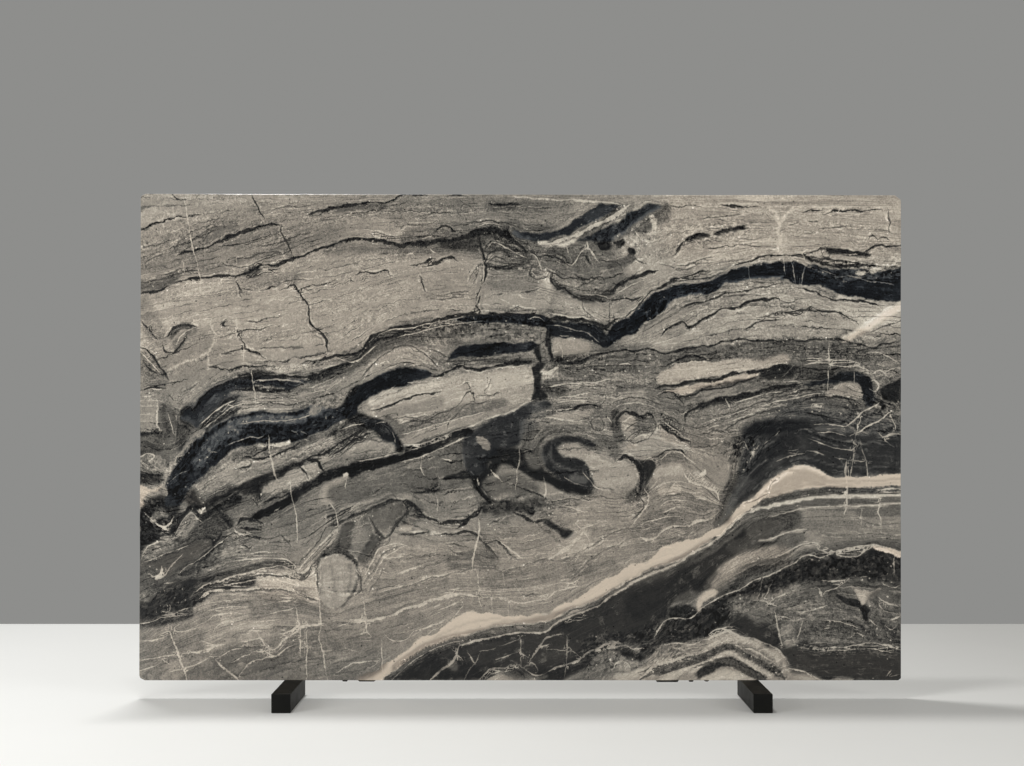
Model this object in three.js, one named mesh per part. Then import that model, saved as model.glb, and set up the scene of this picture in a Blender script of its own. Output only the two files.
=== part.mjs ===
// A polished marble slab standing upright on two black bars.
// Millimetres, +Z up. X runs along the slab, from left to right as seen from its polished face,
// and -Y is the side that the polished face looks to. The origin is on the floor, under the middle
// of the object's box, so the bars stand on z = 0.
import * as THREE from "three";

// Driving dimensions: the slab.
const SLAB_LENGTH = 3000;
const SLAB_HEIGHT = 1916; // at its left end
const SLAB_THICKNESS = 20;
const TOP_FALL = 6; // the sawn top edge runs down to the right by this much
const LEFT_LEAN = 6; // the left edge is further in at the top by this much
const ARRIS = 1.5; // the edges of both faces are eased by this much
const ROUND_TOP_LEFT = 19;
const ROUND_BOTTOM_LEFT = 22;
const CUT_TOP_RIGHT = { along: 24, down: 18 }; // a sawn-off corner
const CHIP_BOTTOM_RIGHT = { along: 10, down: 7 };

// Driving dimensions: the bars.
const BAR_SIDE = 72; // square section
const BAR_LENGTH = 450;
const BAR_BEHIND = 80; // how far a bar reaches past the slab's back face
const LEFT_BAR_MIDDLE = -894; // from the middle of the slab
const RIGHT_BAR_MIDDLE = 905;
const BAR_EDGE = 2; // its long edges and its ends are eased by this much

// Scraps of rubber packing that stick to the slab's lower edge: middle, length and thickness,
// and how far the lower side draws in at each end.
const PACKER_SCRAPS = [
  { name: "packer_left_short", middle: -690, length: 22, thickness: 5, draw: 3 },
  { name: "packer_left_long", middle: -604, length: 70, thickness: 5, draw: 6 },
  { name: "packer_right_long", middle: 580, length: 90, thickness: 7, draw: 4 },
  { name: "packer_right_short", middle: 674, length: 20, thickness: 6, draw: 3 },
  { name: "packer_right_end", middle: 735, length: 22, thickness: 5, draw: 7 },
];
const PACKER_DEPTH = 14; // through the slab's thickness

const SEAT_GAP = 0.3; // between touching pieces

// Places that follow from the dimensions above.
const barMiddleY = 0;
const barBackY = barMiddleY + BAR_LENGTH / 2;
const slabBackY = barBackY - BAR_BEHIND;
const slabFrontY = slabBackY - SLAB_THICKNESS;
const slabMiddleY = (slabFrontY + slabBackY) / 2;
const slabFootZ = BAR_SIDE + SEAT_GAP;

// Extrudes an outline drawn in X and Z along Y, from the front plane backwards, with eased edges.
function upright(shape, frontY, depth, ease) {
  const geometry = new THREE.ExtrudeGeometry(shape, {
    depth: depth - 2 * ease,
    bevelEnabled: ease > 0,
    bevelThickness: ease,
    bevelSize: ease,
    bevelOffset: -ease,
    bevelSegments: 1,
    curveSegments: 6,
  });
  geometry.translate(0, 0, ease - depth);
  geometry.rotateX(Math.PI / 2);
  geometry.translate(0, frontY, 0);
  return geometry;
}

// A saw and handling leave the edges a little uneven. The waves fade out towards the corners.
const EDGE_STEPS = 28;
function edgeWave(share, depth, seed) {
  const waves =
    Math.sin(share * 9.7 + seed) +
    0.6 * Math.sin(share * 23.3 + 2.1 * seed) +
    0.4 * Math.sin(share * 41.9 + 3.7 * seed);
  return (depth * waves * Math.sin(Math.PI * share)) / 2;
}

// The lower edge is straight where it stands on the bars and hollow by a few millimetres
// between its left corner and the left bar.
const HOLLOW = { from: -1440, to: -1330, depth: 3 };
function slabOutline() {
  const left = -SLAB_LENGTH / 2;
  const right = SLAB_LENGTH / 2;
  const foot = slabFootZ;
  const topLeft = foot + SLAB_HEIGHT;
  const topRight = topLeft - TOP_FALL;
  const shape = new THREE.Shape();

  shape.moveTo(left + ROUND_BOTTOM_LEFT, foot);
  const hollowMiddle = (HOLLOW.from + HOLLOW.to) / 2;
  shape.lineTo(HOLLOW.from, foot);
  shape.quadraticCurveTo(hollowMiddle, foot + 2 * HOLLOW.depth, HOLLOW.to, foot);
  shape.lineTo(right - CHIP_BOTTOM_RIGHT.along, foot);
  shape.lineTo(right, foot + CHIP_BOTTOM_RIGHT.down);

  const rightEnd = topRight - CUT_TOP_RIGHT.down;
  const rightRun = rightEnd - foot - CHIP_BOTTOM_RIGHT.down;
  for (let i = 1; i < EDGE_STEPS; i++) {
    const share = i / EDGE_STEPS;
    const z = foot + CHIP_BOTTOM_RIGHT.down + share * rightRun;
    shape.lineTo(right - Math.abs(edgeWave(share, 1.5, 1)), z);
  }
  shape.lineTo(right, rightEnd);
  shape.lineTo(right - CUT_TOP_RIGHT.along, topRight);

  const topStart = right - CUT_TOP_RIGHT.along;
  const topEnd = left + LEFT_LEAN + ROUND_TOP_LEFT;
  for (let i = 1; i < EDGE_STEPS; i++) {
    const share = i / EDGE_STEPS;
    const x = topStart + share * (topEnd - topStart);
    shape.lineTo(x, topRight + share * TOP_FALL + edgeWave(share, 1.5, 2));
  }
  shape.lineTo(topEnd, topLeft);
  shape.quadraticCurveTo(left + LEFT_LEAN, topLeft, left + LEFT_LEAN, topLeft - ROUND_TOP_LEFT);

  const leftStart = topLeft - ROUND_TOP_LEFT;
  const leftRun = leftStart - foot - ROUND_BOTTOM_LEFT;
  for (let i = 1; i < EDGE_STEPS; i++) {
    const share = i / EDGE_STEPS;
    const inset = LEFT_LEAN * (1 - share) + Math.abs(edgeWave(share, 2, 3));
    shape.lineTo(left + inset, leftStart - share * leftRun);
  }
  shape.lineTo(left, foot + ROUND_BOTTOM_LEFT);
  shape.quadraticCurveTo(left, foot, left + ROUND_BOTTOM_LEFT, foot);
  return shape;
}

function barGeometry(middleX) {
  const half = BAR_SIDE / 2;
  const shape = new THREE.Shape();
  shape.moveTo(middleX - half + BAR_EDGE, 0);
  shape.lineTo(middleX + half - BAR_EDGE, 0);
  shape.lineTo(middleX + half, BAR_EDGE);
  shape.lineTo(middleX + half, BAR_SIDE - BAR_EDGE);
  shape.lineTo(middleX + half - BAR_EDGE, BAR_SIDE);
  shape.lineTo(middleX - half + BAR_EDGE, BAR_SIDE);
  shape.lineTo(middleX - half, BAR_SIDE - BAR_EDGE);
  shape.lineTo(middleX - half, BAR_EDGE);
  shape.closePath();
  return upright(shape, barMiddleY - BAR_LENGTH / 2, BAR_LENGTH, BAR_EDGE);
}

function packerGeometry({ middle, length, thickness, draw }) {
  const top = slabFootZ - SEAT_GAP;
  const shape = new THREE.Shape();
  shape.moveTo(middle - length / 2, top);
  shape.lineTo(middle - length / 2 + draw, top - thickness);
  shape.lineTo(middle + length / 2 - draw, top - thickness);
  shape.lineTo(middle + length / 2, top);
  shape.closePath();
  return upright(shape, slabMiddleY - PACKER_DEPTH / 2, PACKER_DEPTH, 0);
}

const marble = new THREE.MeshStandardMaterial({
  color: new THREE.Color(0.3, 0.28, 0.25),
  roughness: 0.25,
  metalness: 0,
});
const blackPaint = new THREE.MeshStandardMaterial({
  color: new THREE.Color(0.012, 0.012, 0.011),
  roughness: 0.6,
  metalness: 0,
});
const rubber = new THREE.MeshStandardMaterial({
  color: new THREE.Color(0.01, 0.01, 0.01),
  roughness: 0.9,
  metalness: 0,
});

function piece(name, geometry, material) {
  const mesh = new THREE.Mesh(geometry, material);
  mesh.name = name;
  return mesh;
}

const slabOnBars = new THREE.Group();
const slabShape = upright(slabOutline(), slabFrontY, SLAB_THICKNESS, ARRIS);
slabOnBars.add(piece("marble_slab", slabShape, marble));
slabOnBars.add(piece("foot_bar_left", barGeometry(LEFT_BAR_MIDDLE), blackPaint));
slabOnBars.add(piece("foot_bar_right", barGeometry(RIGHT_BAR_MIDDLE), blackPaint));
for (const scrap of PACKER_SCRAPS) {
  slabOnBars.add(piece(scrap.name, packerGeometry(scrap), rubber));
}

export default slabOnBars;
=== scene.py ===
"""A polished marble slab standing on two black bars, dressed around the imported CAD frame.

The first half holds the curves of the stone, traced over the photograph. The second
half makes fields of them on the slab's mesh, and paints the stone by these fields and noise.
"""

import bpy
import math
import numpy as np
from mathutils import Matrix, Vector
from mathutils.geometry import delaunay_2d_cdt


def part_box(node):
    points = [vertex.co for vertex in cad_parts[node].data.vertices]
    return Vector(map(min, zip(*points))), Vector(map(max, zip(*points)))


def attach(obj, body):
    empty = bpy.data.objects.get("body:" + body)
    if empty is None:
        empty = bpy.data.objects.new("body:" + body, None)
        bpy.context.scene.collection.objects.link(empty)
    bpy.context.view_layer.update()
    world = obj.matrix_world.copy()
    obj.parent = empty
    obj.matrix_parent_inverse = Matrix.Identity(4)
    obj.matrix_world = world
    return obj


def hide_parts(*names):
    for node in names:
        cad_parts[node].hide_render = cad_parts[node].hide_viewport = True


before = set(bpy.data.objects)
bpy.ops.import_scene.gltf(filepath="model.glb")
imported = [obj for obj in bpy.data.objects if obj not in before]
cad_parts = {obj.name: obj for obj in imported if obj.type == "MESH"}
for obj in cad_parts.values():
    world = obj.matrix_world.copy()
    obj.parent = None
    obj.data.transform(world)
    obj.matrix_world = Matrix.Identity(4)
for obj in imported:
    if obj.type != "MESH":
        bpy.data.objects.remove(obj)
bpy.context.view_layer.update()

# ---------------------------------------------------------------------------
# The photograph's frame. Curves on the stone are traced over it, in its pixels,
# x to the right and y down, and one pixel on the slab's face is PIXEL metres.
# ---------------------------------------------------------------------------

IMAGE_WIDTH = 1024
IMAGE_HEIGHT = 766
PIXEL = 0.003938
MIDDLE_PX = 520.1  # the slab's middle
FOOT_PX = 680.3  # the slab's lower edge
VANISHING_PX = (512, 437)  # straight in front of the camera, on the horizon
CAMERA_DISTANCE = 6.604  # from the slab's face
FLOOR_END_PX = 624  # where the floor meets the wall

slab_low, slab_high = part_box("marble_slab")


def x_of(px):
    """X in metres of a column of pixels, on the slab's face."""
    return (px - MIDDLE_PX) * PIXEL


def z_of(py):
    """Z in metres of a row of pixels, on the slab's face."""
    return slab_low.z + (FOOT_PX - py) * PIXEL


# ---------------------------------------------------------------------------
# What is drawn on the stone. A tone is a lightness from 0, black, to 1, white.
# ---------------------------------------------------------------------------

GROUND_TONE = 0.53

# Soft fields of the ground, each laid over the ones before it: tone, half width,
# softness, middle line.
GROUND_FIELDS = [
    (0.57, 34, 30, [(141, 215), (230, 215), (330, 208), (420, 203)]),
    (0.52, 22, 22, [(141, 262), (220, 245), (300, 240), (345, 225)]),
    (0.60, 34, 24, [(141, 330), (200, 318), (270, 312), (330, 300), (400, 285), (440, 270)]),
    (0.57, 12, 14, [(190, 350), (240, 345), (300, 350)]),
    (0.40, 12, 12, [(360, 350), (385, 340), (415, 338), (440, 335)]),
    (0.40, 7, 10, [(420, 238), (460, 233), (500, 226), (545, 236)]),
    (0.47, 8, 10, [(400, 212), (450, 208), (520, 212), (560, 210)]),
    (0.55, 18, 16, [(440, 300), (500, 290), (540, 285)]),
    (0.41, 20, 14, [(555, 262), (600, 262), (632, 262)]),
    (0.44, 10, 10, [(580, 292), (605, 296)]),
    (0.47, 10, 10, [(500, 275), (535, 278)]),
    (0.50, 18, 12, [(560, 300), (600, 312)]),
    (0.63, 34, 24, [(660, 240), (720, 225), (800, 222), (901, 222)]),
    (0.58, 26, 18, [(660, 325), (720, 310), (780, 300), (840, 300)]),
    (0.68, 16, 14, [(850, 325), (875, 318), (901, 315)]),
    (0.45, 14, 12, [(420, 358), (440, 345), (500, 333), (540, 330)]),
    (0.40, 22, 16, [(150, 440), (165, 430), (175, 410)]),
    (0.50, 20, 16, [(165, 380), (185, 378), (205, 360)]),
    (0.46, 8, 8, [(205, 412), (235, 402), (260, 398), (300, 400), (330, 396)]),
    (0.50, 10, 8, [(215, 414), (245, 404), (290, 402)]),
    (0.53, 14, 10, [(205, 490), (240, 470), (290, 452), (330, 440), (350, 432)]),
    (0.40, 22, 16, [(350, 485), (400, 472), (440, 462), (470, 460)]),
    (0.44, 22, 20, [(560, 395), (600, 390), (650, 395), (690, 400)]),
    (0.50, 18, 14, [(560, 385), (600, 378)]),
    (0.42, 12, 8, [(560, 366), (620, 362), (660, 360)]),
    (0.45, 16, 12, [(545, 425), (600, 430)]),
    (0.48, 16, 16, [(700, 430), (720, 420), (760, 405)]),
    (0.36, 16, 10, [(690, 352), (780, 346), (840, 350), (870, 352)]),
    (0.29, 12, 8, [(806, 366), (830, 366), (855, 366)]),
    (0.37, 18, 14, [(790, 400), (830, 408), (880, 412)]),
    (0.45, 14, 12, [(875, 365), (900, 362)]),
    (0.52, 16, 14, [(640, 460), (690, 470), (715, 480)]),
    (0.53, 22, 18, [(690, 500), (700, 520)]),
    (0.33, 22, 16, [(150, 570), (200, 545), (235, 515), (270, 500)]),
    (0.42, 18, 18, [(230, 530), (300, 515), (340, 500)]),
    (0.45, 20, 18, [(330, 500), (400, 490), (470, 490)]),
    (0.46, 26, 20, [(240, 560), (290, 545), (330, 520)]),
    (0.60, 8, 8, [(200, 596), (250, 583), (300, 582)]),
    (0.62, 8, 10, [(290, 588), (316, 590)]),
    (0.49, 30, 20, [(140, 650), (220, 630), (300, 615)]),
    (0.45, 24, 20, [(180, 672), (300, 665), (380, 650)]),
    (0.45, 24, 20, [(330, 625), (400, 640), (330, 670)]),
    (0.51, 22, 18, [(360, 600), (450, 580), (530, 590)]),
    (0.55, 18, 14, [(400, 575), (470, 555), (540, 540)]),
    (0.50, 16, 14, [(480, 520), (540, 505), (600, 500)]),
    (0.53, 30, 22, [(540, 570), (600, 540), (650, 520)]),
    (0.47, 16, 14, [(650, 530), (690, 532)]),
    (0.40, 8, 6, [(715, 545), (760, 512), (820, 498), (900, 492)]),
    (0.53, 16, 12, [(800, 530), (850, 522), (900, 518)]),
    (0.48, 10, 10, [(790, 545), (820, 535), (900, 540)]),
    (0.55, 10, 10, [(715, 580), (740, 562), (770, 556), (800, 545)]),
    (0.50, 8, 8, [(660, 600), (690, 590), (712, 580)]),
    (0.30, 24, 16, [(740, 612), (770, 590), (840, 575), (890, 570)]),
    (0.30, 34, 16, [(740, 625), (800, 620), (880, 620)]),
    (0.36, 18, 14, [(800, 600), (830, 590), (890, 600)]),
    (0.22, 20, 10, [(790, 655), (850, 662), (900, 662)]),
    (0.48, 12, 8, [(560, 681), (590, 670), (640, 668)]),
]

# Warm and cold places of the ground: warmth, half width, softness, middle line.
WARMTH = [
    (0.25, 60, 40, [(141, 300), (300, 280), (400, 290)]),
    (0.30, 30, 30, [(700, 220), (880, 215)]),
    (0.25, 40, 30, [(200, 640), (330, 600), (480, 590), (620, 540), (700, 480)]),
    (0.45, 8, 8, [(270, 590), (316, 590)]),
    (0.40, 8, 8, [(715, 580), (740, 562), (780, 556)]),
    (0.30, 4, 4, [(325, 356), (345, 352)]),
    (-0.2, 12, 8, [(205, 405), (230, 395)]),
    (-0.2, 12, 8, [(185, 480), (200, 450), (240, 428), (300, 424)]),
    (-0.2, 6, 6, [(640, 315), (690, 290), (760, 270), (840, 288), (900, 290)]),
    (-0.15, 10, 6, [(480, 440), (515, 425), (535, 410)]),
    (-0.2, 30, 20, [(800, 440), (880, 455)]),
]

# Broken, crystalline places: strength, half width, softness, middle line.
BROKEN = [
    (0.6, 10, 6, [(700, 625), (730, 605), (760, 590), (800, 572), (850, 567), (900, 570)]),
    (0.5, 6, 5, [(655, 668), (690, 658), (728, 648), (760, 658), (782, 672)]),
    (0.7, 14, 10, [(600, 652), (640, 650), (680, 630)]),
    (0.30, 22, 10, [(790, 620), (850, 620), (895, 620)]),
    (0.5, 10, 8, [(180, 490), (200, 455), (240, 430), (300, 425), (335, 415)]),
    (0.7, 12, 8, [(145, 515), (165, 530), (150, 545)]),
    (0.6, 12, 8, [(150, 605), (180, 600)]),
    (0.7, 8, 6, [(820, 270), (860, 272), (900, 270)]),
    (0.4, 6, 6, [(720, 350), (790, 347), (860, 349)]),
    (0.45, 8, 6, [(560, 367), (620, 362), (650, 360)]),
    (0.5, 7, 6, [(480, 508), (520, 506), (570, 508)]),
    (0.9, 8, 6, [(735, 450), (755, 445), (740, 465)]),
    (0.6, 8, 6, [(430, 335), (470, 328), (535, 332)]),
    (0.6, 5, 5, [(650, 312), (668, 303), (700, 290)]),
    (0.5, 4, 4, [(705, 300), (722, 290), (750, 284), (790, 282)]),
    (0.5, 6, 5, [(690, 235), (720, 230), (745, 226)]),
    (0.5, 8, 6, [(600, 235), (640, 240), (615, 215)]),
    (0.5, 8, 6, [(330, 400), (340, 405), (300, 412)]),
    (0.5, 10, 8, [(855, 412), (880, 412), (900, 425)]),
    (0.6, 8, 8, [(150, 468), (172, 470)]),
    (0.5, 8, 8, [(240, 540), (225, 550), (210, 565)]),
    (0.5, 8, 8, [(640, 500), (630, 505)]),
]

# How strongly the fine layers show: strength, half width, softness, middle line.
LAYERING_GROUND = 0.5
LAYERING = [
    (0.15, 10, 8, [(175, 372), (200, 368), (230, 360), (270, 358), (320, 352)]),
    (0.25, 14, 14, [(200, 345), (260, 325), (330, 300), (400, 300), (470, 302), (530, 296)]),
    (0.30, 10, 10, [(560, 300), (600, 312)]),
    (1.00, 12, 10, [(225, 400), (260, 385), (330, 375)]),
    (1.10, 10, 8, [(490, 258), (505, 245), (530, 262)]),
    (1.10, 22, 14, [(548, 380), (560, 420), (590, 390), (600, 430)]),
    (0.90, 22, 14, [(620, 395), (660, 420), (690, 440)]),
    (1.20, 14, 8, [(665, 500), (680, 520), (650, 535), (720, 500)]),
    (0.90, 26, 14, [(770, 300), (820, 300), (720, 312)]),
    (1.20, 10, 6, [(830, 270), (880, 270), (902, 272)]),
    (1.00, 30, 14, [(850, 400), (880, 370), (890, 430)]),
    (0.80, 24, 20, [(170, 640), (240, 620), (320, 640)]),
    (1.00, 14, 8, [(205, 598), (250, 580), (300, 580)]),
    (0.80, 26, 20, [(360, 590), (460, 570), (560, 560), (640, 520)]),
    (0.70, 24, 14, [(670, 230), (760, 225), (890, 230)]),
    (1.00, 14, 10, [(215, 490), (260, 465), (320, 440)]),
    (0.30, 14, 10, [(400, 405), (450, 390), (500, 385)]),
    (0.30, 12, 8, [(700, 480), (720, 470)]),
    (0.45, 22, 12, [(820, 520), (880, 520)]),
    (1.10, 14, 8, [(690, 660), (725, 650), (760, 665)]),
    (0.90, 14, 8, [(740, 570), (780, 562)]),
    (1.10, 18, 12, [(800, 615), (850, 625), (895, 630)]),
]

# Lines of bedding that the fine layers follow: depth in the bed, points.
BEDDING = [
    (0, [(139, 193), (250, 193), (400, 193), (560, 193), (700, 193), (820, 193), (903, 193)]),
    (45, [
        (139, 268), (178, 256), (240, 233), (310, 215), (380, 203), (430, 200), (520, 203), (600, 200),
        (700, 205), (800, 206), (903, 208)]),
    (95, [
        (139, 294), (187, 281), (232, 277), (262, 266), (300, 257), (348, 241), (397, 244), (462, 238),
        (495, 229), (520, 240), (560, 236), (600, 220), (645, 207), (720, 218), (800, 222),
        (903, 232)]),
    (140, [
        (139, 330), (200, 318), (260, 306), (330, 288), (390, 272), (450, 262), (500, 268), (545, 270),
        (580, 285), (620, 285), (652, 273), (700, 248), (800, 240), (903, 247)]),
    (190, [
        (139, 372), (200, 345), (270, 340), (330, 330), (372, 310), (430, 298), (480, 296), (530, 296),
        (590, 312), (612, 318), (650, 292), (700, 279), (782, 261), (830, 280), (903, 282)]),
    (215, [
        (175, 400), (220, 372), (270, 362), (325, 360), (362, 348), (390, 330), (445, 319), (482, 316),
        (550, 318), (592, 323), (608, 340), (640, 326), (680, 300), (720, 285), (775, 277), (830, 290),
        (903, 300)]),
    (250, [
        (139, 428), (160, 432), (172, 436), (200, 402), (245, 388), (300, 385), (350, 368), (382, 355),
        (410, 348), (440, 358), (480, 356), (535, 348), (560, 340), (590, 342), (640, 345), (680, 325),
        (740, 305), (812, 311), (850, 318), (903, 320)]),
    (275, [
        (139, 458), (158, 464), (172, 470), (200, 437), (245, 413), (320, 405), (350, 397), (400, 369),
        (440, 376), (530, 364), (590, 360), (645, 350), (700, 347), (800, 340), (845, 341),
        (903, 343)]),
    (305, [
        (139, 483), (155, 486), (170, 492), (205, 470), (240, 447), (320, 432), (360, 405), (430, 380),
        (532, 372), (600, 378), (660, 386), (735, 372), (790, 364), (850, 370), (903, 375)]),
    (330, [
        (139, 500), (158, 503), (180, 503), (240, 475), (300, 461), (345, 440), (400, 420), (470, 402),
        (532, 392), (600, 400), (690, 412), (740, 396), (800, 384), (845, 384), (903, 402)]),
    (355, [
        (139, 520), (165, 527), (190, 513), (205, 512), (262, 492), (310, 478), (352, 463), (400, 452),
        (460, 428), (535, 403), (600, 412), (640, 404), (700, 425), (745, 430), (800, 400), (860, 410),
        (903, 420)]),
    (390, [
        (139, 543), (175, 545), (230, 530), (262, 518), (320, 485), (400, 462), (455, 443), (500, 448),
        (560, 434), (610, 445), (640, 440), (690, 455), (735, 470), (780, 420), (830, 420),
        (903, 436)]),
    (430, [
        (139, 560), (200, 545), (270, 520), (340, 500), (390, 492), (430, 510), (480, 503), (520, 490),
        (590, 492), (640, 492), (660, 466), (690, 466), (715, 490), (735, 505), (800, 462), (830, 474),
        (903, 470)]),
    (470, [
        (196, 575), (240, 557), (280, 552), (300, 562), (335, 528), (392, 500), (440, 535), (480, 535),
        (520, 540), (580, 520), (630, 520), (665, 500), (700, 510), (740, 503)]),
    (500, [
        (139, 622), (200, 587), (245, 571), (280, 565), (303, 577), (325, 549), (360, 560), (400, 573),
        (460, 556), (500, 560), (570, 548), (640, 535), (690, 526), (722, 520)]),
    (520, [
        (139, 640), (200, 600), (250, 589), (285, 589), (320, 601), (335, 611), (360, 600), (430, 577),
        (503, 571), (575, 558), (650, 548), (700, 537)]),
    (570, [
        (139, 672), (200, 650), (260, 630), (320, 626), (352, 621), (412, 606), (460, 594), (530, 600),
        (580, 582), (630, 562)]),
    (600, [
        (139, 695), (260, 690), (350, 681), (415, 641), (463, 613), (545, 616), (600, 583), (655, 555),
        (715, 529), (742, 503), (800, 466), (835, 478), (903, 474)]),
    (615, [
        (380, 681), (421, 652), (487, 628), (545, 621), (600, 597), (655, 567), (705, 543), (755, 505),
        (805, 488), (903, 485)]),
    (650, [
        (430, 690), (480, 655), (545, 640), (600, 615), (655, 590), (712, 560), (755, 524), (800, 509),
        (903, 503)]),
    (690, [
        (484, 690), (540, 672), (620, 644), (655, 630), (690, 598), (722, 570), (765, 548), (805, 530),
        (903, 532)]),
    (720, [
        (560, 690), (640, 660), (680, 620), (722, 596), (778, 572), (812, 556), (878, 547),
        (903, 552)]),
    (745, [(600, 690), (660, 645), (705, 638), (740, 610), (800, 585), (860, 578), (903, 582)]),
    (775, [(630, 690), (690, 658), (725, 646), (750, 640), (790, 625), (850, 628), (903, 640)]),
    (800, [(640, 700), (700, 665), (728, 660), (762, 668), (800, 655), (860, 650), (903, 655)]),
    (830, [(680, 720), (730, 690), (780, 690), (830, 680), (903, 684)]),
]

# Tones of the dark bodies, and the softness of a sharp edge in pixels.
BLACK = 0.055
COAL = 0.10
CHARCOAL = 0.17
SLATE = 0.25
CRISP = 0.8

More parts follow.
